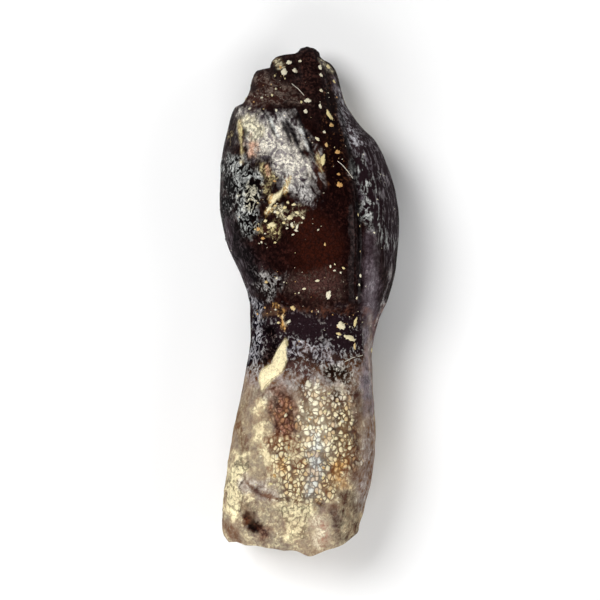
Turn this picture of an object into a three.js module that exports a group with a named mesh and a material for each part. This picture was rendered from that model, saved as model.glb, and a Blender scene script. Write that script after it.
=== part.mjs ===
// A fossil turiasaurian sauropod tooth: a heart-shaped, wrinkled crown on a broken stump of root.
// It lies on its lingual side, labial side up, and rests on worn flats under the root and the crown.
// Millimetres. X runs from the mesial to the distal margin, Y from the root to the tip, Z upwards.
import * as THREE from 'three';
import { LoftGeometry } from 'three/addons/geometries/LoftGeometry.js';

const LENGTH = 46;
const NECK = 22.2;
const SEGMENTS = 64;
const END_RINGS = [0.08, 0.24, 0.4, 0.58, 0.76, 0.92];
const TIP = { x: -0.25, z: 3.2 };

// The side margins' smooth course as seen from above: [y, x].
const MESIAL_COURSE = [
  [0, -7.75], [2, -7.97], [5, -7.8], [10.2, -7.1], [15.7, -5.97], [19.3, -5.4], [22.5, -5.4],
  [24.8, -6.08], [28.4, -7.66], [32, -8.2], [35.7, -8.02], [38.5, -7.45], [40.3, -7.0], [42, -6.15],
  [43.7, -5.05], [44.6, -4.0], [45.3, -2.9], [45.6, -1.7], [45.85, -0.95], [46, -0.6],
];
const DISTAL_COURSE = [
  [0, 4.3], [2, 4.5], [5, 5.15], [7.5, 5.68], [11, 5.95], [15.7, 5.62], [18, 5.6], [21.1, 6.2],
  [23, 7.0], [26, 7.8], [30.2, 8.07], [32.5, 7.8], [35.7, 6.77], [37.5, 5.82], [38.4, 4.9],
  [39.4, 4.1], [41, 3.12], [42.9, 2.6], [44.4, 2.1], [45, 1.5], [45.45, 0.9], [45.75, 0.5], [46, 0.1],
];

// The notches between the worn cusps cut the margins back to here: [y, x].
const MESIAL_NOTCHES = [
  [38, -9], [40.1, -7.15], [40.5, -6.8], [40.75, -6.12], [42.2, -5.4], [43.4, -5.15], [43.85, -4.75],
  [44.0, -3.62], [44.6, -3.5], [45.0, -3.15], [45.22, -2.5], [45.32, -1.4], [45.6, -1.05], [45.8, -0.95], [46, -1.3],
];
const DISTAL_NOTCHES = [[43, 3.5], [44.1, 2.25], [44.5, 1.8], [44.75, 1.3], [45.15, 0.92], [45.5, 0.95], [46, 1.6]];
const NOTCH_ROUNDING = 0.18;

// Heights along the tooth: [y, z].
const LABIAL_CREST = [
  [0, 8.0], [1.5, 8.7], [4, 9.6], [8, 10.1], [14, 10.2], [20, 10.2], [23, 10.5], [27, 11.2], [30, 11.4],
  [33, 11.2], [36, 10.6], [39, 9.4], [40.5, 8.5], [42, 7.2], [43.5, 5.9], [44.8, 4.9], [45.5, 4.3], [46, 3.6],
];
const LINGUAL_FLOOR = [
  [0, 1.2], [1.5, 0.6], [4, 0.02], [7, -0.14], [12, 0.2], [16, 0.7], [20, 1.1], [23, 1.0], [26, 0.3],
  [29, -0.95], [32.5, -1.25], [35.5, -0.75], [38, 0.3], [40, 1.1], [42, 1.7], [44.5, 2.4], [46, 2.8],
];
const MESIAL_MARGIN_HEIGHT = [
  [0, 4.5], [8, 4.9], [20, 5.1], [24, 4.6], [29, 3.5], [34, 2.9], [38, 2.9], [42, 3.2], [46, 3.1],
];
const DISTAL_MARGIN_HEIGHT = [
  [0, 4.3], [8, 4.7], [20, 5.0], [24, 4.7], [29, 4.0], [34, 3.6], [38, 3.5], [42, 3.6], [46, 3.2],
];

// How square the two halves of a section are: 2 is an ellipse, 3 is nearly a box.
const LABIAL_SQUARENESS = [[0, 2.4], [14, 2.5], [22, 2.25], [30, 2.2], [40, 2.2], [46, 2.0]];
const LINGUAL_SQUARENESS = [[0, 2.3], [20, 2.2], [30, 2.7], [40, 2.5], [46, 2.0]];
const DISTAL_SQUARENESS_GAIN = 0.45;

// The hollow between the two margins on the lingual side of the crown, and the low ridge down its middle.
const LINGUAL_HOLLOW = [[23, 0], [26, 0.4], [29, 1.9], [33, 2.8], [37, 1.9], [40, 0.8], [42.5, 0.3], [44, 0]];
const LINGUAL_RIDGE = { height: 0.45, width: 0.17, from: 25, to: 41 };

// The groove that parts the broad labial face from the distal flank: [y, x].
const FLANK_GROOVE = [[20, 4.5], [23, 4.5], [28, 4.85], [32, 4.65], [35, 4.25], [38, 3.7], [41, 3.0], [44, 2.1]];
const FLANK_GROOVE_DEPTH = [[19, 0.05], [23, 0.2], [28, 0.42], [36, 0.42], [41, 0.25], [44, 0.1], [46, 0]];
const FLANK_GROOVE_WIDTH = 0.6;

// The low roll down the middle of the distal flank: [y, x].
const FLANK_ROLL = [[24, 6.1], [28, 6.5], [32, 6.4], [36, 5.6], [39, 3.9]];
const FLANK_ROLL_SIZE = { height: 0.14, width: 0.7, from: 24, to: 39 };

// Furrows that run down from the notches between the cusps: ends [x, y], half width and depth.
const FURROWS = [
  { from: [-6.4, 40.8], to: [-4.3, 39.9], width: 0.35, depth: 0.22 },
  { from: [-3.7, 44.1], to: [-2.7, 41.4], width: 0.35, depth: 0.32 },
  { from: [-1.5, 45.5], to: [-1.1, 43.4], width: 0.3, depth: 0.22 },
  { from: [1.5, 44.9], to: [2.3, 38.6], width: 0.4, depth: 0.24 },
];

// Swellings (height above 0) and hollows (below 0) on the labial side: centre, radii, turn and height.
const PATCHES = [
  { at: [0.4, 43.2], radii: [0.9, 2.4], turn: 0.12, height: 0.28, edge: 1 },
  { at: [-4.9, 42.6], radii: [0.7, 1.3], turn: -0.25, height: 0.14, edge: 1 },
  { at: [-2.4, 12.9], radii: [0.95, 1.6], turn: 0.2, height: -0.32, edge: 1 },
  { at: [-3.3, 17.3], radii: [0.62, 2.1], turn: -0.62, height: 0.2, edge: 3 },
  { at: [-5.2, 3.0], radii: [1.0, 0.9], turn: 0, height: -0.38, edge: 1 },
  { at: [2.6, 6.4], radii: [0.8, 0.7], turn: 0.4, height: -0.2, edge: 1 },
  { at: [4.2, 20.6], radii: [0.9, 0.6], turn: 0.3, height: -0.2, edge: 1 },
  { at: [0.6, 27.0], radii: [2.6, 3.2], turn: 0, height: 0.12, edge: 1 },
];

// Steps: the enamel's edge at the neck, the worn apex and the flaked layer at the root's broken end.
const ENAMEL_EDGE = { height: 0.13, run: 0.35, fade: 6 };
const WORN_APEX = { y: 40.45, depth: 0.2, run: 0.3, from: -6.5, to: 2.4 };
const FLAKED_ROOT = { y: 5.2, depth: 0.2, run: 0.3, from: -4.6, to: 1.6 };

// The broken end: how far it stands back from its rim's lowest point, its hollow and the boss inside that.
const END = { lowest: -0.2, mesialSlope: 0.155, distalCurve: 0.075, lean: 0.07, hollow: 0.9, boss: 0.3, bevel: 0.45, reach: 5 };
const TIP_ROUNDING = 0.16;

const clamp01 = (t) => Math.min(1, Math.max(0, t));
const lerp = (a, b, t) => a + (b - a) * t;

function smoothstep(low, high, value) {
  const t = clamp01((value - low) / (high - low));
  return t * t * (3 - 2 * t);
}

// A smooth curve through [at, value] knots that doesn't overshoot between them.
function curveThrough(knots) {
  const steps = knots.slice(1).map(([at, value], i) => (value - knots[i][1]) / (at - knots[i][0]));
  const slopes = knots.map((_, i) => {
    if (i === 0) return steps[0];
    if (i === knots.length - 1) return steps[i - 1];
    const before = steps[i - 1];
    const after = steps[i];
    return before * after <= 0 ? 0 : (2 * before * after) / (before + after);
  });
  return (at) => {
    const clamped = Math.min(knots[knots.length - 1][0], Math.max(knots[0][0], at));
    const i = Math.min(knots.length - 2, Math.max(0, knots.findIndex(([a]) => a > clamped) - 1));
    const k = clamped >= knots[knots.length - 1][0] ? knots.length - 2 : i;
    const span = knots[k + 1][0] - knots[k][0];
    const t = (clamped - knots[k][0]) / span;
    const a = (1 + 2 * t) * (1 - t) ** 2 * knots[k][1] + t * (1 - t) ** 2 * span * slopes[k];
    const b = t * t * (3 - 2 * t) * knots[k + 1][1] + t * t * (t - 1) * span * slopes[k + 1];
    return a + b;
  };
}

const mesialCourse = curveThrough(MESIAL_COURSE);
const distalCourse = curveThrough(DISTAL_COURSE);
const mesialNotches = curveThrough(MESIAL_NOTCHES);
const distalNotches = curveThrough(DISTAL_NOTCHES);
const labialCrest = curveThrough(LABIAL_CREST);
const lingualFloor = curveThrough(LINGUAL_FLOOR);
const mesialMarginHeight = curveThrough(MESIAL_MARGIN_HEIGHT);
const distalMarginHeight = curveThrough(DISTAL_MARGIN_HEIGHT);
const labialSquareness = curveThrough(LABIAL_SQUARENESS);
const lingualSquareness = curveThrough(LINGUAL_SQUARENESS);
const lingualHollow = curveThrough(LINGUAL_HOLLOW);
const flankGroove = curveThrough(FLANK_GROOVE);
const flankGrooveDepth = curveThrough(FLANK_GROOVE_DEPTH);
const flankRoll = curveThrough(FLANK_ROLL);

// Distance in the XY plane from a point to a furrow's line.
function distanceToFurrow({ from, to }, x, y) {
  const run = [to[0] - from[0], to[1] - from[1]];
  const t = clamp01(((x - from[0]) * run[0] + (y - from[1]) * run[1]) / (run[0] ** 2 + run[1] ** 2));
  return Math.hypot(x - from[0] - t * run[0], y - from[1] - t * run[1]);
}

// 1 at a patch's centre and 0 outside it. A higher edge value makes its rim steeper.
function patchShare({ at, radii, turn, edge }, x, y) {
  const c = Math.cos(turn);
  const s = Math.sin(turn);
  const across = (c * (x - at[0]) + s * (y - at[1])) / radii[0];
  const along = (-s * (x - at[0]) + c * (y - at[1])) / radii[1];
  return Math.exp(-((across ** 2 + along ** 2) ** edge));
}

// How far the labial surface stands out (above 0) or in (below 0) at a place.
function labialRelief(x, y) {
  const fromGroove = (x - flankGroove(y)) / FLANK_GROOVE_WIDTH;
  let relief = -flankGrooveDepth(y) * Math.exp(-(fromGroove ** 2));
  const fromRoll = (x - flankRoll(y)) / FLANK_ROLL_SIZE.width;
  const rollRun = smoothstep(FLANK_ROLL_SIZE.from, 27, y) * smoothstep(FLANK_ROLL_SIZE.to, 35, y);
  relief += FLANK_ROLL_SIZE.height * rollRun * Math.exp(-(fromRoll ** 2));
  for (const furrow of FURROWS) {
    relief -= furrow.depth * Math.exp(-((distanceToFurrow(furrow, x, y) / furrow.width) ** 2));
  }
  for (const patch of PATCHES) relief += patch.height * patchShare(patch, x, y);
  const apexEdge = WORN_APEX.y + 0.25 * Math.sin(2.6 * x);
  const onApex = smoothstep(WORN_APEX.from, WORN_APEX.from + 1, x) * smoothstep(WORN_APEX.to + 0.8, WORN_APEX.to, x);
  relief -= WORN_APEX.depth * onApex * smoothstep(apexEdge, apexEdge + WORN_APEX.run, y);
  const flakeEdge = FLAKED_ROOT.y + 0.3 * Math.sin(1.1 * x + 0.8);
  const onFlake = smoothstep(FLAKED_ROOT.from, FLAKED_ROOT.from + 1, x) * smoothstep(FLAKED_ROOT.to, FLAKED_ROOT.to - 1, x);
  relief -= FLAKED_ROOT.depth * onFlake * smoothstep(flakeEdge, flakeEdge - FLAKED_ROOT.run, y);
  return relief;
}

// A gentle unevenness that doesn't repeat visibly, between about -1.5 and 1.5.
function unevenness(x, y, z) {
  const first = Math.sin(x + 0.9 * y + 0.4 * z) * Math.sin(0.7 * x - 1.1 * y + 0.8 * z + 1.3);
  const second = Math.sin(1.9 * x - 0.5 * y + 1.2 * z + 2.1) * Math.sin(0.6 * x + 1.7 * y - 0.9 * z);
  return first + 0.6 * second;
}

// Relief that goes all the way round: the enamel's edge, flutes down the crown and lumps on the root.
function allRoundRelief(x, y, z, angle) {
  const neck = NECK + 0.35 * Math.sin(3 * angle) + 0.15 * Math.sin(7 * angle + 1);
  const onCrown = smoothstep(neck, neck + ENAMEL_EDGE.run, y);
  const enamel = ENAMEL_EDGE.height * onCrown * smoothstep(neck + ENAMEL_EDGE.fade, neck, y);
  const fluteFade = smoothstep(NECK + 1, NECK + 6, y) * smoothstep(41.5, 38.5, y);
  const flutes = 0.05 * fluteFade * Math.sin(11 * angle + 1.1 * Math.sin(0.4 * y) + 0.4 * Math.sin(1.3 * y));
  const lumps = 0.07 * (1 - onCrown) * unevenness(1.5 * x, 1.2 * y, 1.5 * z);
  const swell = 0.08 * unevenness(0.7 * x, 0.45 * y, 0.6 * z);
  return enamel + flutes + lumps + swell;
}

// The larger of two values, with the corner between them rounded.
const roundedMax = (a, b) => 0.5 * (a + b + Math.hypot(a - b, NOTCH_ROUNDING));

// A point's x, moved in where a notch between two cusps cuts the margin back.
function notchedX(x, y) {
  const fromMesial = y > MESIAL_NOTCHES[0][0] ? roundedMax(x, mesialNotches(y)) : x;
  return y > DISTAL_NOTCHES[0][0] ? -roundedMax(-fromMesial, -distalNotches(y)) : fromMesial;
}

// Points round one section, from the mesial margin over the labial side to the distal margin and back under.
function section(station, scale, standBack) {
  const left = mesialCourse(station);
  const right = distalCourse(station);
  const middle = (left + right) / 2;
  const halfWidth = (right - left) / 2;
  const tipShare = smoothstep(LENGTH - TIP_ROUNDING, LENGTH, station);
  const points = [];
  for (let i = 0; i < SEGMENTS; i += 1) {
    const angle = (2 * Math.PI * i) / SEGMENTS;
    const across = -Math.cos(angle);
    const up = Math.sin(angle);
    const side = (across + 1) / 2;
    const halfSquareness = up >= 0 ? labialSquareness(station) : lingualSquareness(station);
    const squareness = halfSquareness + DISTAL_SQUARENESS_GAIN * side;
    const reach = (Math.abs(across) ** squareness + Math.abs(up) ** squareness) ** (-1 / squareness);
    const marginHeight = lerp(mesialMarginHeight(station), distalMarginHeight(station), side);
    const x = middle + halfWidth * reach * across;
    let z = marginHeight;
    if (up >= 0) {
      z += (labialCrest(station) - marginHeight) * reach * up;
    } else {
      z += (marginHeight - lingualFloor(station)) * reach * up;
      const offCentre = (reach * across) ** 2;
      z += lingualHollow(station) * Math.exp(-((offCentre / 0.3) ** 2));
      const ridgeRun = smoothstep(LINGUAL_RIDGE.from, 30, station) * smoothstep(LINGUAL_RIDGE.to, 36, station);
      z -= LINGUAL_RIDGE.height * ridgeRun * Math.exp(-offCentre / LINGUAL_RIDGE.width ** 2);
    }
    const labialShare = smoothstep(0, 0.35, up);
    const relief = labialShare * labialRelief(x, station) + allRoundRelief(x, station, z, angle);
    const fade = scale < 1 ? 0 : (1 - tipShare) * (1 - 0.75 * Math.abs(across) ** 6);
    const notched = notchedX(x + across * relief * fade, station);
    const surface = new THREE.Vector3(notched, station, z + up * relief * fade);
    const centre = new THREE.Vector3(middle, station, (labialCrest(station) + lingualFloor(station)) / 2);
    surface.lerpVectors(centre, surface, scale);
    surface.lerp(new THREE.Vector3(TIP.x, station, TIP.z), 0.7 * tipShare);
    surface.y += endStandBack(surface.x, surface.z, scale) * standBack;
    surface.z = Math.max(0, surface.z);
    points.push(surface);
  }
  return points;
}

// How far the broken end of the root stands back from its lowest point.
function endStandBack(x, z, scale) {
  const off = x - END.lowest;
  const rim = off < 0 ? -END.mesialSlope * off : END.distalCurve * off * off;
  const rough = 0.16 * unevenness(1.2 * x, 0.8 * z, 1.3 * z);
  const hollow = END.hollow * smoothstep(0.93, 0.4, scale) - END.boss * smoothstep(0.5, 0, scale);
  return rim + END.lean * (LABIAL_CREST[0][1] - z) + rough * (scale < 1 ? 1 : 0.5) + hollow;
}

// Where the sections lie: close together at the broken end, the neck and the cusps.
function stations() {
  const runs = [
    [END.bevel, 2.4, 4], [2.4, 21, 17], [21, 24, 5], [24, 40, 17], [40, 41.2, 6],
    [41.2, 43.6, 5], [43.6, 45.6, 12], [45.6, LENGTH - TIP_ROUNDING, 2], [LENGTH - TIP_ROUNDING, LENGTH, 3],
  ];
  const list = [];
  for (const [from, to, count] of runs) {
    for (let i = 0; i < count; i += 1) list.push(from + ((to - from) * i) / count);
  }
  list.push(LENGTH);
  return list;
}

function toothGeometry() {
  const sections = END_RINGS.map((scale) => section(0, scale, 1));
  for (const station of stations()) {
    sections.push(section(station, 1, (1 - clamp01(station / END.reach)) ** 2));
  }
  const geometry = new LoftGeometry(sections, { capStart: true, capEnd: true });
  geometry.computeBoundingBox();
  const { min, max } = geometry.boundingBox;
  geometry.translate(-(min.x + max.x) / 2, -(min.y + max.y) / 2, -min.z);
  return geometry;
}

const toothMaterial = new THREE.MeshStandardMaterial({ color: 0x4a3328, roughness: 0.42, metalness: 0 });

const tooth = new THREE.Mesh(toothGeometry(), toothMaterial);
tooth.name = 'tooth';

const part = new THREE.Group();
part.add(tooth);

export default part;
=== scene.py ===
"""The looks of a fossil turiasaurian sauropod tooth that lies labial side up."""
import math

import bpy
import numpy as np
from mathutils import Matrix, Vector
from mathutils.bvhtree import BVHTree


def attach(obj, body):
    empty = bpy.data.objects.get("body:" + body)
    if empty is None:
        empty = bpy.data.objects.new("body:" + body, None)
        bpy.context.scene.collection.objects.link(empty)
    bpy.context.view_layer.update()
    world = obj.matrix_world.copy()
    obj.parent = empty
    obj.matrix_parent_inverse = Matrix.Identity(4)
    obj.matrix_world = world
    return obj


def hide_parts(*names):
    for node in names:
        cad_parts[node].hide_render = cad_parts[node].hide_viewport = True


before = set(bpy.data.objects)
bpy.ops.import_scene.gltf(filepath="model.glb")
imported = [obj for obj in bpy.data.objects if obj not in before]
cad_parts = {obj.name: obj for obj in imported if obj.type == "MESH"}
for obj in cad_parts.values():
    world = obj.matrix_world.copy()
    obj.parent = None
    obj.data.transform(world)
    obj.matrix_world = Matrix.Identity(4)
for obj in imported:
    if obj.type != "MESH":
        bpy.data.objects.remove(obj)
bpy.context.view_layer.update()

bl_info = {
    "name": "Fossil sauropod tooth",
    "version": (1, 0, 0),
    "blender": (4, 5, 0),
    "location": "3D View > Sidebar > Fossil tooth",
    "description": "Builds a heart-shaped sauropod tooth with wrinkled enamel and a crusted root",
    "category": "Add Mesh",
}

NODE = "tooth"
BODY = "root"
MM = 0.001

# The tooth's own millimetres: X from the mesial to the distal margin, Y from the root's end to the tip.
# FRAME_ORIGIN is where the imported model's origin lies in them.
LENGTH = 46.0
NECK = 22.2
FRAME_ORIGIN = (-0.0667, 22.9647)
TIP = (-0.25, 3.2)
TIP_ROUNDING = 0.16

# Places on the tooth are given as the picture's pixels: millimetres per pixel and the pixel of X 0, Y 0.
PIXEL = 0.09073
PIXEL_ORIGIN = (310.0, 553.0)
PICTURE_CENTRE = (300.0, 300.0)
PICTURE_SIZE = 600

# The side margins' smooth course as seen from above, and the notches between the cusps: [y, x].
MESIAL_COURSE = [
    [0, -7.75], [2, -7.97], [5, -7.8], [10.2, -7.1], [15.7, -5.97], [19.3, -5.4], [22.5, -5.4],
    [24.8, -6.08], [28.4, -7.66], [32, -8.2], [35.7, -8.02], [38.5, -7.45], [40.3, -7.0], [42, -6.15],
    [43.7, -5.05], [44.6, -4.0], [45.3, -2.9], [45.6, -1.7], [45.85, -0.95], [46, -0.6],
]
DISTAL_COURSE = [
    [0, 4.3], [2, 4.5], [5, 5.15], [7.5, 5.68], [11, 5.95], [15.7, 5.62], [18, 5.6], [21.1, 6.2],
    [23, 7.0], [26, 7.8], [30.2, 8.07], [32.5, 7.8], [35.7, 6.77], [37.5, 5.82], [38.4, 4.9],
    [39.4, 4.1], [41, 3.12], [42.9, 2.6], [44.4, 2.1], [45, 1.5], [45.45, 0.9], [45.75, 0.5], [46, 0.1],
]
MESIAL_NOTCHES = [
    [38, -9], [40.1, -7.15], [40.5, -6.8], [40.75, -6.12], [42.2, -5.4], [43.4, -5.15], [43.85, -4.75],
    [44.0, -3.62], [44.6, -3.5], [45.0, -3.15], [45.22, -2.5], [45.32, -1.4], [45.6, -1.05],
    [45.8, -0.95], [46, -1.3],
]
DISTAL_NOTCHES = [
    [43, 3.5], [44.1, 2.25], [44.5, 1.8], [44.75, 1.3], [45.15, 0.92], [45.5, 0.95], [46, 1.6],
]
NOTCH_ROUNDING = 0.18

# Heights along the tooth: [y, z].
LABIAL_CREST = [
    [0, 8.0], [1.5, 8.7], [4, 9.6], [8, 10.1], [14, 10.2], [20, 10.2], [23, 10.5], [27, 11.2], [30, 11.4],
    [33, 11.2], [36, 10.6], [39, 9.4], [40.5, 8.5], [42, 7.2], [43.5, 5.9], [44.8, 4.9], [45.5, 4.3],
    [46, 3.6],
]
LINGUAL_FLOOR = [
    [0, 1.2], [1.5, 0.6], [4, 0.02], [7, -0.14], [12, 0.2], [16, 0.7], [20, 1.1], [23, 1.0], [26, 0.3],
    [29, -0.95], [32.5, -1.25], [35.5, -0.75], [38, 0.3], [40, 1.1], [42, 1.7], [44.5, 2.4], [46, 2.8],
]
MESIAL_MARGIN_HEIGHT = [
    [0, 4.5], [8, 4.9], [20, 5.1], [24, 4.6], [29, 3.5], [34, 2.9], [38, 2.9], [42, 3.2], [46, 3.1],
]
DISTAL_MARGIN_HEIGHT = [
    [0, 4.3], [8, 4.7], [20, 5.0], [24, 4.7], [29, 4.0], [34, 3.6], [38, 3.5], [42, 3.6], [46, 3.2],
]
LABIAL_SQUARENESS = [[0, 2.4], [14, 2.5], [22, 2.25], [30, 2.2], [40, 2.2], [46, 2.0]]
LINGUAL_SQUARENESS = [[0, 2.3], [20, 2.2], [30, 2.7], [40, 2.5], [46, 2.0]]
DISTAL_SQUARENESS_GAIN = 0.45
LINGUAL_HOLLOW = [[23, 0], [26, 0.4], [29, 1.9], [33, 2.8], [37, 1.9], [40, 0.8], [42.5, 0.3], [44, 0]]
LINGUAL_RIDGE = {"height": 0.45, "width": 0.17, "from": 25, "to": 41}

# The groove and the roll on the distal flank: [y, x], and the furrows that run down from the notches.
FLANK_GROOVE = [[20, 4.5], [23, 4.5], [28, 4.85], [32, 4.65], [35, 4.25], [38, 3.7], [41, 3.0], [44, 2.1]]
FLANK_GROOVE_DEPTH = [[19, 0.05], [23, 0.2], [28, 0.42], [36, 0.42], [41, 0.25], [44, 0.1], [46, 0]]
FLANK_GROOVE_WIDTH = 0.6
FLANK_ROLL = [[24, 6.1], [28, 6.5], [32, 6.4], [36, 5.6], [39, 3.9]]
FLANK_ROLL_SIZE = {"height": 0.14, "width": 0.7, "from": 24, "to": 39}
FURROWS = [
    {"from": (-6.4, 40.8), "to": (-4.3, 39.9), "width": 0.35, "depth": 0.22},
    {"from": (-3.7, 44.1), "to": (-2.7, 41.4), "width": 0.35, "depth": 0.32},
    {"from": (-1.5, 45.5), "to": (-1.1, 43.4), "width": 0.3, "depth": 0.22},
    {"from": (1.5, 44.9), "to": (2.3, 38.6), "width": 0.4, "depth": 0.24},
]

# Swellings and hollows on the labial side: centre, radii, turn, height and steepness of the rim.
PATCHES = [
    ((0.4, 43.2), (0.9, 2.4), 0.12, 0.28, 1),
    ((-4.9, 42.6), (0.7, 1.3), -0.25, 0.14, 1),
    ((-2.4, 12.9), (0.95, 1.6), 0.2, -0.32, 1),
    ((-3.3, 17.3), (0.62, 2.1), -0.62, 0.2, 3),
    ((-5.2, 3.0), (1.0, 0.9), 0, -0.38, 1),
    ((2.6, 6.4), (0.8, 0.7), 0.4, -0.2, 1),
    ((4.2, 20.6), (0.9, 0.6), 0.3, -0.2, 1),
    ((0.6, 27.0), (2.6, 3.2), 0, 0.12, 1),
]
ENAMEL_EDGE = {"height": 0.13, "run": 0.35, "fade": 6}
WORN_APEX = {"y": 40.45, "depth": 0.16, "run": 0.5, "from": -6.5, "to": -1.2}
FLAKED_ROOT = {"y": 5.2, "depth": 0.2, "run": 0.3, "from": -4.6, "to": 1.6}
END = {
    "lowest": -0.2, "mesial_slope": 0.155, "distal_curve": 0.075, "lean": 0.07,
    "hollow": 0.9, "boss": 0.3, "bevel": 0.45, "reach": 5,
}

# Mesh rows as [from, to, count], and columns over the labial and the lingual side.
ROW_RUNS = [
    (END["bevel"], 21, 126), (21, 24, 20), (24, 40, 96), (40, 41.2, 12), (41.2, 43.6, 16),
    (43.6, LENGTH - TIP_ROUNDING, 22), (LENGTH - TIP_ROUNDING, LENGTH, 3),
]
END_RINGS = 13
LABIAL_COLUMNS = 236
LINGUAL_COLUMNS = 80

# Colours of the minerals and stains, and of the highlights, reflections and shade painted on the tooth, as
# they look on a screen.
PALETTE = {
    "enamel": (20, 7, 7),
    "ember": (54, 22, 14),
    "mahogany": (44, 20, 16),
    "plum": (50, 38, 42),
    "night": (15, 11, 18),
    "soot": (6, 3, 4),
    "smoke": (98, 90, 88),
    "lilac": (122, 113, 118),
    "slate": (100, 92, 98),
    "silver": (206, 208, 204),
    "ash": (188, 184, 180),
    "bone": (236, 228, 200),
    "cream": (232, 219, 178),
    "sand": (212, 196, 142),
    "honey": (206, 156, 88),
    "rose": (196, 150, 124),
    "clay": (160, 118, 98),
    "coffee": (60, 33, 27),
    "umber": (100, 66, 42),
    "putty": (196, 184, 152),
    "taupe": (132, 114, 102),
    "russet": (128, 84, 52),
    "rust": (116, 62, 32),
    "hazel": (162, 126, 98),
    "cocoa": (78, 54, 50),
    "mauve": (92, 80, 86),
    "dusk": (34, 22, 26),
    "pearl": (226, 219, 205),
    "frost": (196, 193, 198),
}

# The ground of the crown and of the root along its length:
# picture row, dark colour, light colour, amount of light.
CROWN_GROUND = [(40, "enamel", "mahogany", 0.45), (320, "enamel", "mahogany", 0.45)]
ROOT_GROUND = [
    (312, "dusk", "smoke", 0.15), (352, "dusk", "ash", 0.2), (376, "umber", "ash", 0.45),
    (410, "taupe", "putty", 0.55), (450, "taupe", "putty", 0.6), (490, "taupe", "putty", 0.6),
    (553, "taupe", "putty", 0.6),
]

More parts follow.
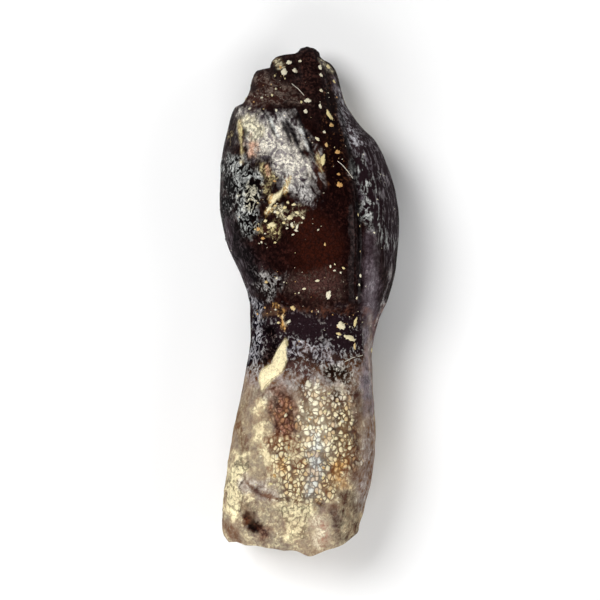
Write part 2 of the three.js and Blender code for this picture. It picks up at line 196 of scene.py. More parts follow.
# Regions on the labial side, laid one over the other: dark colour, light colour, how much of the place the
# light colour takes, strength, softness and raggedness of the edge in pixels, and points (x, y, radius).
REGIONS = [
    ("ember", "mahogany", 0.4, 0.9, 12, 4, [(304, 222, 14), (318, 250, 24), (318, 280, 18)]),
    ("cocoa", "taupe", 0.05, 0.8, 12, 4, [(300, 286, 8), (328, 286, 12)]),
    ("coffee", "taupe", 0.32, 0.85, 7, 5, [(262, 84, 7), (280, 94, 8), (252, 100, 8), (302, 100, 5)]),
    ("enamel", "coffee", 0.5, 0.9, 5, 3, [(307, 60, 9), (310, 96, 9)]),
    ("umber", "putty", 0.6, 0.9, 2, 2, [(277, 62, 4), (280, 68, 4)]),
    ("smoke", "putty", 0.5, 0.9, 2, 2, [(319, 60, 1), (330, 68, 3.4)]),
    # A painted highlight along the top of the distal flank.
    ("mauve", "lilac", 0.5, 0.95, 3, 2, [(334, 78, 2), (339, 94, 4), (346, 116, 5)]),
    ("enamel", "russet", 0.0, 0.9, 5, 4, [(329, 84, 3), (333, 120, 6), (336, 176, 8)]),
    ("coffee", "ash", 0.28, 0.7, 4, 4, [(316, 150, 3), (320, 190, 4)]),
    # The pale film over the upper crown, in this region and the next two: a mineral film, partly a painted
    # glare of light on the wrinkled enamel.
    ("plum", "ash", 0.47, 1.0, 6, 6, [(292, 172, 14), (306, 196, 11)]),
    ("lilac", "pearl", 0.64, 1.0, 8, 7, [(243, 116, 4), (262, 138, 17), (282, 150, 18), (297, 168, 14)]),
    ("plum", "ash", 0.5, 1.0, 4, 4, [(268, 118, 5), (290, 122, 7), (304, 140, 5)]),
    ("putty", "bone", 0.7, 0.95, 4, 4, [(247, 125, 7), (257, 133, 8)]),
    ("russet", "sand", 0.75, 0.85, 2, 2, [(240, 122, 1), (242, 146, 2), (243, 166, 1.6)]),
    ("coffee", "sand", 0.75, 0.9, 2, 3, [(229, 134, 2), (227, 148, 2)]),
    ("umber", "rose", 0.85, 0.9, 3, 3, [(252, 145, 6), (252, 154, 5)]),
    ("soot", "night", 0.5, 0.9, 1.2, 1, [(262, 111, 1), (270, 122, 1.6), (277, 142, 1)]),
    ("soot", "night", 0.5, 0.9, 1.2, 1, [(279, 117, 1.4), (285, 129, 1.8), (291, 143, 1)]),
    ("soot", "night", 0.5, 0.9, 1.2, 1, [(286, 122, 1), (293, 136, 1.8), (300, 152, 1.4), (304, 160, 1)]),
    ("soot", "night", 0.5, 0.9, 1.2, 1, [(298, 116, 1.4), (304, 132, 2), (310, 148, 1.6), (316, 164, 1)]),
    # Silver lines in the film, in this region and the next: light mineral, partly painted glare on the
    # wrinkles' crests.
    ("smoke", "silver", 0.85, 0.9, 1.4, 1, [(271, 122, 1), (275, 131, 1.6), (279, 139, 1)]),
    ("smoke", "silver", 0.75, 0.9, 1.4, 1, [(300, 130, 1), (305, 142, 1.4), (308, 152, 1)]),
    ("russet", "sand", 0.7, 0.9, 1.6, 2, [(318, 157, 1.6), (320, 166, 2.4), (321, 172, 1.4)]),
    ("soot", "silver", 0.26, 1.0, 6, 6, [(228, 164, 6), (243, 174, 13), (249, 202, 14), (247, 224, 8)]),
    ("soot", "bone", 0.36, 0.9, 4, 4, [(240, 196, 4), (254, 190, 5), (250, 206, 6)]),
    ("soot", "silver", 0.08, 0.9, 6, 6, [(228, 178, 6), (230, 204, 7)]),
    ("coffee", "sand", 0.4, 0.9, 4, 4, [(264, 170, 4), (273, 180, 6), (266, 190, 3)]),
    ("umber", "rose", 0.7, 0.9, 2, 2, [(267, 168, 1.6), (268, 175, 2)]),
    ("coffee", "sand", 0.34, 0.9, 4, 5, [(264, 229, 6), (276, 231, 5)]),
    ("coffee", "cream", 0.3, 0.9, 4, 5, [(286, 212, 6), (304, 209, 3), (292, 224, 4)]),
    ("honey", "cream", 0.7, 1.0, 1.6, 3.5, [(291, 179, 1.2), (286, 187, 3), (277, 199, 5), (269, 211, 4)]),
    ("soot", "plum", 0.3, 0.9, 8, 4, [(226, 214, 5), (242, 250, 9), (258, 286, 9)]),
    # A thin painted reflection along the mesial outline of the crown.
    ("plum", "slate", 0.4, 0.9, 4, 3, [(224, 222, 1.5), (236, 256, 3), (250, 288, 3.5), (254, 306, 3)]),
    ("enamel", "ash", 0.27, 0.95, 6, 6, [(262, 274, 5), (276, 284, 7), (268, 294, 6)]),
    # Light streaks on the distal flank, in this region and the next four: painted highlights of the glossy
    # flank laid along its streaks and wrinkles, over its dark purple colour.
    ("plum", "frost", 0.36, 1.0, 4, 3, [(336, 84, 3), (344, 110, 6), (352, 130, 7)]),
    ("plum", "frost", 0.38, 1.0, 4, 3, [(354, 138, 7), (362, 160, 7)]),
    ("dusk", "slate", 0.42, 1.0, 4, 3, [(362, 164, 8), (366, 184, 8), (369, 206, 9)]),
    ("dusk", "lilac", 0.26, 1.0, 5, 3, [
        (352, 118, 5), (372, 146, 8), (386, 180, 10), (392, 214, 9), (391, 262, 6),
    ]),
    ("dusk", "silver", 0.26, 0.9, 6, 6, [
        (358, 166, 5), (366, 178, 6), (370, 212, 7), (378, 228, 7), (384, 245, 4),
    ]),
    # A soft vertical painted highlight down the rounded lobe of the flank, in this region and the next.
    ("plum", "mauve", 0.5, 1.0, 6, 3, [(368, 238, 7), (370, 280, 9), (370, 322, 8)]),
    ("mauve", "lilac", 0.5, 0.9, 5, 3, [(370, 262, 2), (371, 290, 4), (369, 326, 5)]),
    # A thin painted reflection along the distal outline.
    ("mauve", "ash", 0.6, 0.8, 1.5, 1, [(392, 262, 0.6), (386, 290, 0.8), (378, 320, 1)]),
    # A dark line painted as shade along the crease between the labial face and the distal flank.
    ("soot", "enamel", 0.4, 0.95, 3, 2, [
        (336, 96, 1.6), (346, 140, 1.8), (355, 180, 2), (359, 240, 2.4), (359, 300, 2.4),
    ]),
    ("enamel", "mahogany", 0.4, 0.9, 4, 3, [(346, 216, 4), (350, 260, 4), (350, 300, 4)]),
    ("enamel", "coffee", 0.5, 0.9, 5, 4, [(262, 314, 5), (300, 308, 5), (350, 312, 5)]),
    ("night", "frost", 0.3, 1.0, 4, 4, [(256, 306, 5), (259, 330, 6), (254, 354, 7)]),
    ("coffee", "honey", 0.34, 0.95, 2, 3, [(278, 306, 2.4), (283, 315, 2.6), (284, 325, 2)]),
    ("coffee", "cream", 0.6, 0.9, 1.4, 2, [(282, 314, 1), (287, 322, 1.8)]),
    ("soot", "cocoa", 0.2, 0.95, 4, 4, [(272, 330, 6), (278, 346, 6), (266, 358, 5)]),
    ("dusk", "lilac", 0.1, 0.95, 5, 4, [(296, 322, 7), (312, 328, 8)]),
    ("dusk", "lilac", 0.06, 0.95, 5, 4, [(332, 322, 7), (344, 334, 9)]),
    ("dusk", "frost", 0.38, 1.0, 6, 5, [(296, 346, 8), (312, 352, 13), (330, 354, 10)]),
    ("soot", "frost", 0.42, 0.9, 2, 3, [(327, 319, 1), (324, 330, 3), (328, 345, 1.4)]),
    ("coffee", "ash", 0.42, 0.9, 8, 6, [(294, 370, 5), (312, 376, 7), (326, 380, 4)]),
    ("cocoa", "ash", 0.3, 0.9, 5, 5, [(290, 366, 3), (306, 372, 5)]),
    ("soot", "pearl", 0.3, 0.9, 6, 5, [(328, 370, 6), (344, 372, 8), (350, 386, 5)]),
    ("taupe", "putty", 0.42, 1.0, 7, 5, [(244, 392, 8), (242, 420, 11), (240, 446, 12)]),
    ("umber", "putty", 0.42, 0.85, 5, 6, [(244, 402, 4), (238, 426, 5), (246, 450, 5)]),
    ("taupe", "putty", 0.4, 0.8, 5, 5, [(256, 392, 6), (248, 424, 5)]),
    ("hazel", "cream", 0.76, 0.9, 4, 4, [(260, 404, 3), (259, 430, 5), (266, 452, 5), (274, 468, 5)]),
    ("hazel", "cream", 0.86, 1.0, 6, 7, [(240, 460, 9), (238, 480, 10), (236, 502, 10)]),
    ("taupe", "pearl", 0.55, 0.9, 6, 6, [(250, 480, 7), (266, 488, 7)]),
    ("umber", "putty", 0.6, 0.9, 5, 5, [(290, 494, 4), (306, 496, 4)]),
    ("coffee", "clay", 0.44, 1.0, 7, 6, [(280, 392, 9), (284, 408, 14), (287, 422, 12), (280, 436, 9)]),
    ("russet", "bone", 0.82, 1.0, 7, 5, [(316, 394, 8), (312, 412, 15), (320, 438, 16)]),
    ("umber", "cream", 0.56, 0.95, 6, 4, [(336, 396, 7), (343, 424, 9), (345, 448, 8)]),
    ("soot", "pearl", 0.5, 0.7, 5, 5, [(336, 388, 4), (341, 404, 3), (334, 424, 2)]),
    ("smoke", "silver", 0.84, 0.85, 6, 5, [(317, 436, 5), (317, 462, 8), (312, 488, 5)]),
    ("rust", "cream", 0.62, 0.95, 8, 5, [(278, 456, 7), (284, 468, 10), (294, 484, 9)]),
    ("russet", "honey", 0.7, 0.7, 5, 4, [(283, 456, 4), (284, 466, 3)]),
    ("rust", "cream", 0.54, 0.9, 6, 5, [(278, 440, 8), (294, 446, 8), (298, 462, 5)]),
    ("rust", "cream", 0.6, 0.9, 8, 5, [(346, 448, 8), (340, 470, 10), (328, 486, 8)]),
    ("rust", "honey", 0.6, 0.85, 5, 5, [(344, 462, 5), (335, 472, 6), (344, 484, 5)]),
    ("coffee", "taupe", 0.45, 0.9, 5, 4, [(356, 392, 4), (357, 430, 4), (353, 474, 4)]),
    # A painted grey-lilac reflection down the root's turned-away distal side, in this region and the next
    # two.
    ("plum", "lilac", 0.85, 0.95, 3, 3, [(367, 330, 6), (368, 380, 7), (370, 412, 7)]),
    ("taupe", "ash", 0.6, 0.7, 3, 3, [(370, 316, 2), (371, 350, 2.4), (371, 392, 2.4)]),
    ("umber", "ash", 0.48, 0.95, 6, 3, [(371, 424, 8), (370, 466, 9), (363, 500, 9)]),
    ("hazel", "cream", 0.88, 1.0, 5, 5, [(284, 506, 7), (302, 514, 11), (294, 530, 9)]),
    ("clay", "bone", 0.6, 0.85, 5, 4, [(318, 520, 8), (318, 538, 7)]),
    ("coffee", "putty", 0.5, 0.95, 6, 4, [(346, 496, 9), (348, 528, 11)]),
    ("coffee", "taupe", 0.45, 0.85, 3, 3, [(333, 506, 3), (338, 530, 4)]),
    ("soot", "coffee", 0.5, 1.0, 5, 7, [(246, 512, 5), (252, 521, 9), (260, 520, 6)]),
    ("coffee", "clay", 0.4, 0.9, 4, 3, [(268, 528, 5), (262, 536, 5)]),
    ("umber", "taupe", 0.4, 0.8, 4, 3, [(230, 528, 5), (238, 538, 4)]),
    ("coffee", "umber", 0.5, 0.95, 1.6, 2, [(320, 502, 2.5), (325, 504, 2)]),
    ("coffee", "umber", 0.5, 0.85, 1.4, 2.4, [
        (246, 480, 0.6), (260, 492, 1.2), (276, 496, 1.2), (302, 501, 0.8),
    ]),
    ("sand", "cream", 0.75, 1.0, 1.2, 1, [
        (285.5, 340, 1), (283, 350, 4.4), (281, 358, 6.6), (276, 367, 7),
        (268, 373, 7.4), (265, 380, 5.6), (263, 388, 2),
    ]),
]

# Where the light colour lies as worm-like threads, nodules, streaks or slanted strokes instead of fine
# granules, and where crusts and crumbs of matrix lie: strength, softness, raggedness and points.
THREADS = [
    (1.0, 7, 6, [(232, 160, 10), (246, 182, 15), (248, 222, 14)]),
    (1.0, 6, 5, [(250, 132, 12), (266, 152, 19), (290, 172, 18), (306, 194, 12)]),
    (1.0, 6, 6, [(264, 272, 10), (276, 290, 12)]),
    (1.0, 5, 5, [(356, 164, 8), (370, 180, 9), (374, 214, 12), (386, 248, 6)]),
    (1.0, 6, 6, [(256, 306, 9), (256, 356, 12)]),
    (0.45, 6, 6, [(296, 322, 12), (344, 334, 14), (332, 368, 16), (296, 370, 16)]),
    (0.8, 5, 5, [(250, 366, 8), (252, 380, 8)]),
    (0.7, 8, 6, [(296, 372, 10), (280, 404, 12)]),
    (0.3, 8, 6, [(284, 500, 14), (320, 530, 20)]),
    (0.4, 8, 6, [(246, 400, 12), (250, 470, 14)]),
    (0.8, 6, 5, [(262, 84, 10), (290, 96, 12)]),
    (0.9, 5, 4, [(284, 212, 7), (300, 218, 6)]),
]
PEBBLE = [
    (1.0, 7, 5, [(312, 392, 14), (316, 414, 20), (322, 440, 24), (318, 484, 20)]),
    (1.0, 6, 5, [(338, 404, 14), (346, 452, 14)]),
    (1.0, 6, 5, [(278, 446, 10), (292, 484, 14)]),
    (0.6, 8, 6, [(282, 404, 13), (284, 430, 12)]),
]
STREAK = [
    (1.0, 5, 3, [(338, 84, 6), (352, 120, 10), (368, 160, 18), (384, 200, 16), (388, 262, 12)]),
    (0.6, 4, 3, [(368, 240, 10), (370, 330, 9), (369, 420, 10), (366, 500, 12)]),
    (0.9, 6, 4, [(224, 222, 5), (250, 290, 8)]),
    (0.3, 8, 5, [(246, 396, 14), (242, 444, 14)]),
    (0.7, 6, 4, [(346, 500, 12), (350, 530, 12)]),
]
SLANT = [
    (0.9, 6, 5, [(268, 118, 10), (294, 126, 14), (312, 152, 10), (318, 190, 8)]),
]
CRUST = [
    (1.0, 1.4, 1.2, [
        (285.5, 340, 0.8), (283, 350, 3.6), (281, 358, 5.8), (276, 367, 6.2),
        (268, 373, 6.6), (265, 380, 4.8), (263, 388, 1.2),
    ]),
    (1.0, 1.4, 3.4, [(291, 179, 1), (286, 187, 2.6), (277, 199, 4.4), (269, 211, 3.4)]),
    (0.5, 4, 4, [(248, 126, 7), (257, 136, 7)]),
    (0.42, 3, 4, [(286, 212, 6), (292, 224, 4)]),
    (0.5, 2, 3, [(277, 62, 4), (280, 68, 4)]),
    (0.5, 3, 4, [(283, 308, 3), (284, 326, 3)]),
    (0.5, 5, 5, [(238, 466, 8), (236, 504, 9)]),
    (0.5, 5, 5, [(284, 508, 7), (302, 516, 9), (298, 530, 9)]),
]
CRUMBS = [
    (0.14, 5, 5, [(324, 72, 3), (332, 112, 5), (337, 180, 7)]),
    (0.5, 8, 6, [(262, 204, 10), (288, 214, 12), (262, 230, 10)]),
    (0.2, 10, 8, [(272, 278, 12), (336, 272, 8)]),
    (0.5, 6, 5, [(262, 312, 8), (300, 316, 6), (352, 322, 10)]),
    (0.4, 6, 5, [(284, 66, 8), (262, 100, 10)]),
    (0.25, 8, 6, [(290, 470, 30), (320, 420, 30)]),
    (0.05, 20, 6, [(290, 120, 40), (300, 300, 40)]),
]

# Single grains on the labial side: (x, y), (width, length) in pixels, turn in degrees and lightness.
GRAINS = [
    ((328, 295), (4.4, 7.6), -18, 0.95), ((284, 73), (5.6, 7.2), 0, 0.95),
    ((295, 71.5), (5, 4.8), 0, 0.9), ((289, 63), (5, 4.2), 30, 0.85),
    ((320, 68), (3.2, 5.4), -20, 0.85), ((321, 76), (2.8, 4), 0, 0.8),
    ((307.6, 102.5), (6, 4.4), 10, 0.85), ((305.5, 113.5), (3.4, 4.4), 0, 0.9),
    ((320, 108), (2.6, 5), -10, 0.85), ((329, 117), (4.4, 10), 12, 0.42),
    ((331, 127), (5.6, 3.8), 20, 0.2), ((322.5, 162), (4, 10), -12, 0.5),
    ((337, 154), (4.4, 3.6), 30, 0.14), ((326, 147), (2.6, 4), 0, 0.22),
    ((317, 141), (5, 2.4), -40, 0.7), ((338, 176), (3, 2.2), 0, 0.1),
    ((339, 186.5), (4.6, 5.2), 40, 0.08), ((321, 92), (3, 3), 0, 0.7),
    ((300, 61.5), (3.6, 2.2), 0, 0.75), ((359.6, 276), (2, 3), 0, 0.8), ((357.4, 216), (1, 3), 14, 0.4),
    ((359, 227), (0.8, 1.8), 0, 0.3), ((359.4, 252), (0.9, 1.6), 0, 0.3),
    ((358.5, 285), (1.6, 2.4), 20, 0.8), ((356, 298), (1.6, 2.6), -20, 0.7),
    ((330, 267), (1.6, 2.6), 0, 0.9), ((334, 271), (2.4, 1.6), 20, 0.9),
    ((340, 273), (1.8, 1.8), 0, 0.9), ((317, 281), (4, 2), 15, 0.7), ((304, 289), (3.4, 1.8), 20, 0.7),
    ((293, 308), (4.4, 4.4), 0, 0.3), ((340.5, 325.5), (6.5, 7.5), 25, 0.7),
    ((354.5, 322), (3.2, 9), -8, 0.4), ((338, 333.5), (5, 2.4), -10, 0.35),
    ((349, 337.5), (12, 4.2), -16, 0.65), ((354, 346), (2.4, 6), 0, 0.3),
    ((371, 350), (2.6, 4), 0, 0.45), ((288, 204), (2.4, 2.4), 0, 0.6), ((278, 214), (3.4, 3), 30, 0.6),
    ((285, 209), (3.4, 2.6), 40, 0.4), ((297, 214), (4.4, 2.4), -10, 0.6),
    ((303, 219), (2.4, 3), 20, 0.7), ((284, 224), (3, 2.2), 0, 0.5), ((266, 222), (3.4, 2.4), 30, 0.6),
    ((294, 206), (4, 2.2), 20, 0.6), ((292, 226), (2.6, 4), 0, 0.8), ((259, 230), (4, 3), 60, 0.15),
    ((290, 219), (5, 4), 20, 0.6), ((297, 228), (2.2, 4.4), -20, 0.85), ((272, 226), (8, 4), 8, 0.6),
    ((250, 110), (3.2, 2.6), 10, 0.8), ((246, 99), (3, 3), 0, 0.7), ((262, 99), (3, 2), 0, 0.8),
    ((328, 67), (3.4, 4.2), 0, 0.55), ((334, 82), (2.4, 3.4), 0, 0.4), ((324, 134), (2.6, 2.6), 0, 0.8),
    ((308, 383), (5.4, 6), 10, 0.85), ((262, 243), (2, 2), 0, 0.8),
]

# Fine fibres that lie on the labial side: points (x, y), and one scratch.
FIBRES = [
    [(337, 163), (342, 167), (347, 173), (352, 180)],
    [(344, 361), (352, 357), (361, 355), (371, 350)],
    [(292, 85), (298, 90), (304, 97)],
    [(262, 128), (266, 140), (264, 152)],
]


class Wire:
    """A node socket that Python expressions can be written with, in a shader or a geometry tree."""

    def __init__(self, tree, socket):
        self.tree = tree
        self.socket = socket

    def node(self, kind, settings=None, sockets=None, output=0):
        """Adds any node: its type, settings, the values or links of its sockets, and the output taken."""
        made = self.tree.nodes.new(kind)
        for name, value in (settings or {}).items():
            setattr(made, name, value)
        for key, value in (sockets or {}).items():
            if isinstance(value, Wire):
                self.tree.links.new(value.socket, made.inputs[key])
            else:
                made.inputs[key].default_value = value
        return Wire(self.tree, made.outputs[output])

    def math(self, operation, *others):
        """A Math node, or a Vector Math node where this socket carries a vector."""
        if self.socket.type == "VECTOR":
            spread = [(o,) * 3 if isinstance(o, (int, float)) else o for o in others]
            sockets = dict(enumerate([self, *spread]))
            return self.node("ShaderNodeVectorMath", {"operation": operation}, sockets)
        return self.node("ShaderNodeMath", {"operation": operation}, dict(enumerate([self, *others])))

    def __add__(self, other):
        return self.math("ADD", other)

    def __radd__(self, other):
        return self.math("ADD", other)

    def __sub__(self, other):
        return self.math("SUBTRACT", other)

    def __rsub__(self, other):
        return self.math("MULTIPLY", -1.0) + other

    def __mul__(self, other):
        return self.math("MULTIPLY", other)

    def __rmul__(self, other):
        return self.math("MULTIPLY", other)

    def __abs__(self):
        return self.math("ABSOLUTE")

    def divided(self, other):
        return self.math("DIVIDE", other)

    def max(self, other):
        return self.math("MAXIMUM", other)

    def parts(self):
        """The three numbers of a vector."""
        split = self.node("ShaderNodeSeparateXYZ", None, {0: self}).socket.node
        return [Wire(self.tree, socket) for socket in split.outputs]

    def step(self, low, high):
        """A smooth step from 0 at low to 1 at high; high may lie below low."""
        ends = {0: self, 1: low, 2: high, 3: 0.0, 4: 1.0}
        if low > high:
            ends = {0: self, 1: high, 2: low, 3: 1.0, 4: 0.0}
        return self.node("ShaderNodeMapRange", {"interpolation_type": "SMOOTHSTEP"}, ends)

    def blend(self, under, over):
        """The colour under, covered by the colour over where this value is 1."""
        return self.node("ShaderNodeMix", {"data_type": "RGBA"}, {0: self, 6: under, 7: over}, 2)

    def stirred(self, scale, amount):
        """This vector, pushed about by noise."""
        push = self.node("ShaderNodeTexNoise", None, {"Vector": self, "Scale": scale, "Detail": 1.0}, "Color")
        centred = push.node("ShaderNodeVectorMath", {"operation": "SUBTRACT"}, {0: push, 1: (0.5, 0.5, 0.5)})
        return self + centred * amount

    def shaded(self, factor):
        """This colour, lighter or darker by a factor."""
        return self.node("ShaderNodeVectorMath", {"operation": "SCALE"}, {0: self, "Scale": factor})

    def noise(self, scale, detail=2.0, roughness=0.5, distortion=0.0):
        """Noise between 0 and 1 on this vector. scale is one number or three."""
        sockets = {
            "Vector": self * scale, "Scale": 1.0, "Detail": detail, "Roughness": roughness,
            "Distortion": distortion,
        }
        return self.node("ShaderNodeTexNoise", None, sockets)

    def cells(self, scale, feature="F1", randomness=1.0, output="Distance"):
        """A Voronoi pattern on this vector. scale is one number or three."""
        sockets = {"Vector": self * scale, "Scale": 1.0, "Randomness": randomness}
        return self.node("ShaderNodeTexVoronoi", {"feature": feature}, sockets, output)


def linear(name, lightness=1.0):
    """A palette colour as linear red, green, blue and alpha."""
    channels = np.array(PALETTE[name]) / 255.0
    low = channels / 12.92
    high = ((channels + 0.055) / 1.055) ** 2.4
    return (*(np.where(channels <= 0.04045, low, high) * lightness), 1.0)


def smoothstep(low, high, value):
    """0 at low, 1 at high and a smooth step between them."""
    t = np.clip((value - low) / (high - low), 0, 1)
    return t * t * (3 - 2 * t)


def curve_through(knots):
    """A smooth curve through [at, value] knots that doesn't overshoot between them."""
    at, value = np.array(knots, float).T
    steps = np.diff(value) / np.diff(at)
    slopes = np.empty(len(at))
    slopes[0] = steps[0]
    slopes[-1] = steps[-1]
    before = steps[:-1]
    after = steps[1:]
    total = np.where(before * after > 0, before + after, 1)
    slopes[1:-1] = np.where(before * after > 0, 2 * before * after / total, 0)

    def curve(where):
        where = np.clip(where, at[0], at[-1])
        k = np.clip(np.searchsorted(at, where, "right") - 1, 0, len(at) - 2)
        span = at[k + 1] - at[k]
        t = (where - at[k]) / span
        start = (1 + 2 * t) * (1 - t) ** 2 * value[k] + t * (1 - t) ** 2 * span * slopes[k]
        return start + t * t * (3 - 2 * t) * value[k + 1] + t * t * (t - 1) * span * slopes[k + 1]

    return curve


def ripple(x, y, seed):
    """Noise over a plane between -1 and 1, the same at every run."""
    def corner(i, j):
        mixed = (i * 374761393 + j * 668265263 + seed * 1274126177) & 0xFFFFFFFF
        mixed = ((mixed ^ (mixed >> 13)) * 1103515245) & 0xFFFFFFFF
        return ((mixed ^ (mixed >> 16)) & 0xFFFF) / 32767.5 - 1

    i = np.floor(x).astype(np.int64)
    j = np.floor(y).astype(np.int64)
    u = smoothstep(0, 1, x - i)
    v = smoothstep(0, 1, y - j)
    near = corner(i, j) * (1 - u) + corner(i + 1, j) * u
    far = corner(i, j + 1) * (1 - u) + corner(i + 1, j + 1) * u
    return near * (1 - v) + far * v


def unevenness(x, y, z):
    """A gentle unevenness that doesn't repeat visibly."""
    first = np.sin(x + 0.9 * y + 0.4 * z) * np.sin(0.7 * x - 1.1 * y + 0.8 * z + 1.3)
    second = np.sin(1.9 * x - 0.5 * y + 1.2 * z + 2.1) * np.sin(0.6 * x + 1.7 * y - 0.9 * z)
    return first + 0.6 * second


def to_segment(x, y, start, end):
    """Distance from points to a line between two places, and how far along it the nearest point lies."""
    run = (end[0] - start[0], end[1] - start[1])
    length = max(run[0] ** 2 + run[1] ** 2, 1e-9)
    t = np.clip(((x - start[0]) * run[0] + (y - start[1]) * run[1]) / length, 0, 1)
    return np.hypot(x - start[0] - t * run[0], y - start[1] - t * run[1]), t


def labial_relief(x, y):
    """How far the labial surface stands out or in, in millimetres."""
    groove = curve_through(FLANK_GROOVE)(y)
    relief = -curve_through(FLANK_GROOVE_DEPTH)(y) * np.exp(-(((x - groove) / FLANK_GROOVE_WIDTH) ** 2))
    roll = FLANK_ROLL_SIZE
    on_roll = smoothstep(roll["from"], 27, y) * smoothstep(roll["to"], 35, y)
    relief += roll["height"] * on_roll * np.exp(-(((x - curve_through(FLANK_ROLL)(y)) / roll["width"]) ** 2))
    for furrow in FURROWS:
        away, _ = to_segment(x, y, furrow["from"], furrow["to"])
        relief -= furrow["depth"] * np.exp(-((away / furrow["width"]) ** 2))
    for at, radii, turn, height, edge in PATCHES:
        c = math.cos(turn)
        s = math.sin(turn)
        across = (c * (x - at[0]) + s * (y - at[1])) / radii[0]
        along = (-s * (x - at[0]) + c * (y - at[1])) / radii[1]
        relief += height * np.exp(-((across**2 + along**2) ** edge))
    apex = WORN_APEX
    apex_edge = apex["y"] + 0.25 * np.sin(2.6 * x)
    on_apex = smoothstep(apex["from"], apex["from"] + 1, x) * smoothstep(apex["to"] + 0.8, apex["to"], x)
    relief -= apex["depth"] * on_apex * smoothstep(apex_edge, apex_edge + apex["run"], y)
    flake = FLAKED_ROOT
    flake_edge = flake["y"] + 0.3 * np.sin(1.1 * x + 0.8)
    on_flake = smoothstep(flake["from"], flake["from"] + 1, x) * smoothstep(flake["to"], flake["to"] - 1, x)
    return relief - flake["depth"] * on_flake * smoothstep(flake_edge, flake_edge - flake["run"], y)


def all_round_relief(x, y, z, angle):
    """The enamel's edge, flutes down the crown and lumps on the root."""
    neck = NECK + 0.35 * np.sin(3 * angle) + 0.15 * np.sin(7 * angle + 1)
    on_crown = smoothstep(neck, neck + ENAMEL_EDGE["run"], y)
    enamel = ENAMEL_EDGE["height"] * on_crown * smoothstep(neck + ENAMEL_EDGE["fade"], neck, y)
    flute_fade = smoothstep(NECK + 1, NECK + 6, y) * smoothstep(41.5, 38.5, y)
    flutes = 0.05 * flute_fade * np.sin(11 * angle + 1.1 * np.sin(0.4 * y) + 0.4 * np.sin(1.3 * y))
    lumps = 0.07 * (1 - on_crown) * unevenness(1.5 * x, 1.2 * y, 1.5 * z)
    swell = 0.08 * unevenness(0.7 * x, 0.45 * y, 0.6 * z)
    return enamel + flutes + lumps + swell


def rounded_max(a, b):
    """The larger of two values, with the corner between them rounded."""
    return 0.5 * (a + b + np.hypot(a - b, NOTCH_ROUNDING))


def end_stand_back(x, z, scale):
    """How far the broken end of the root stands back from its lowest point."""
    off = x - END["lowest"]
    rim = np.where(off < 0, -END["mesial_slope"] * off, END["distal_curve"] * off * off)
    rough = 0.16 * unevenness(1.2 * x, 0.8 * z, 1.3 * z) * np.where(scale < 1, 1, 0.5)
    hollow = END["hollow"] * smoothstep(0.93, 0.4, scale) - END["boss"] * smoothstep(0.5, 0, scale)
    return rim + END["lean"] * (LABIAL_CREST[0][1] - z) + rough + hollow


def tooth_rings():
    """Points of the tooth in its own millimetres, as rows of rings, and how far up and how full each is."""
    stations = [0.0] * END_RINGS
    scales = list(np.linspace(0.06, 0.96, END_RINGS))
    for low, high, count in ROW_RUNS:
        stations += list(low + (high - low) * np.arange(count) / count)
    stations.append(LENGTH)
    scales += [1.0] * (len(stations) - END_RINGS)
    station = np.array(stations)[:, None]
    scale = np.array(scales)[:, None]
    stand_back = np.where(scale < 1, 1, (1 - np.clip(station / END["reach"], 0, 1)) ** 2)
    labial = math.pi * np.arange(LABIAL_COLUMNS) / LABIAL_COLUMNS
    lingual = math.pi + math.pi * np.arange(LINGUAL_COLUMNS) / LINGUAL_COLUMNS
    angle = np.concatenate([labial, lingual])[None, :]

    left = curve_through(MESIAL_COURSE)(station)
    right = curve_through(DISTAL_COURSE)(station)
    crest = curve_through(LABIAL_CREST)(station)
    floor = curve_through(LINGUAL_FLOOR)(station)
    middle = (left + right) / 2
    tip_share = smoothstep(LENGTH - TIP_ROUNDING, LENGTH, station)
    across = -np.cos(angle)
    up = np.sin(angle)
    side = (across + 1) / 2
    labial_square = curve_through(LABIAL_SQUARENESS)(station)
    lingual_square = curve_through(LINGUAL_SQUARENESS)(station)
    square = np.where(up >= 0, labial_square, lingual_square) + DISTAL_SQUARENESS_GAIN * side
    reach = (np.abs(across) ** square + np.abs(up) ** square) ** (-1 / square)
    mesial_height = curve_through(MESIAL_MARGIN_HEIGHT)(station)
    margin = mesial_height + (curve_through(DISTAL_MARGIN_HEIGHT)(station) - mesial_height) * side
    x = middle + (right - left) / 2 * reach * across
    off_centre = (reach * across) ** 2
    ridge = LINGUAL_RIDGE
    ridge_run = smoothstep(ridge["from"], 30, station) * smoothstep(ridge["to"], 36, station)
    hollow = curve_through(LINGUAL_HOLLOW)(station) * np.exp(-((off_centre / 0.3) ** 2))
    hollow = hollow - ridge["height"] * ridge_run * np.exp(-off_centre / ridge["width"] ** 2)
    z = margin + np.where(up >= 0, (crest - margin) * reach * up, (margin - floor) * reach * up + hollow)
    relief = smoothstep(0, 0.35, up) * labial_relief(x, station) + all_round_relief(x, station, z, angle)
    relief = relief * np.where(scale < 1, 0, (1 - tip_share) * (1 - 0.75 * np.abs(across) ** 6))
    x = x + across * relief
    z = z + up * relief
    cut = rounded_max(x, curve_through(MESIAL_NOTCHES)(station))
    x = np.where(station > MESIAL_NOTCHES[0][0], cut, x)
    cut = -rounded_max(-x, -curve_through(DISTAL_NOTCHES)(station))
    x = np.where(station > DISTAL_NOTCHES[0][0], cut, x)
    x = middle + (x - middle) * scale
    z = (crest + floor) / 2 + (z - (crest + floor) / 2) * scale
    x = x + (TIP[0] - x) * 0.7 * tip_share
    z = z + (TIP[1] - z) * 0.7 * tip_share
    y = station + end_stand_back(x, z, scale) * stand_back
    points = np.stack([x, y, np.maximum(z, 0)], axis=-1)
    return points, np.broadcast_to(up, x.shape), np.broadcast_to(scale, x.shape)


def add_attribute(mesh, name, kind, values):
    """Stores values on a mesh's points."""
    field = {"FLOAT": "value", "FLOAT_VECTOR": "vector", "FLOAT_COLOR": "color"}[kind]
    layer = mesh.attributes.new(name, kind, "POINT")
    layer.data.foreach_set(field, np.ascontiguousarray(values, np.float32).ravel())


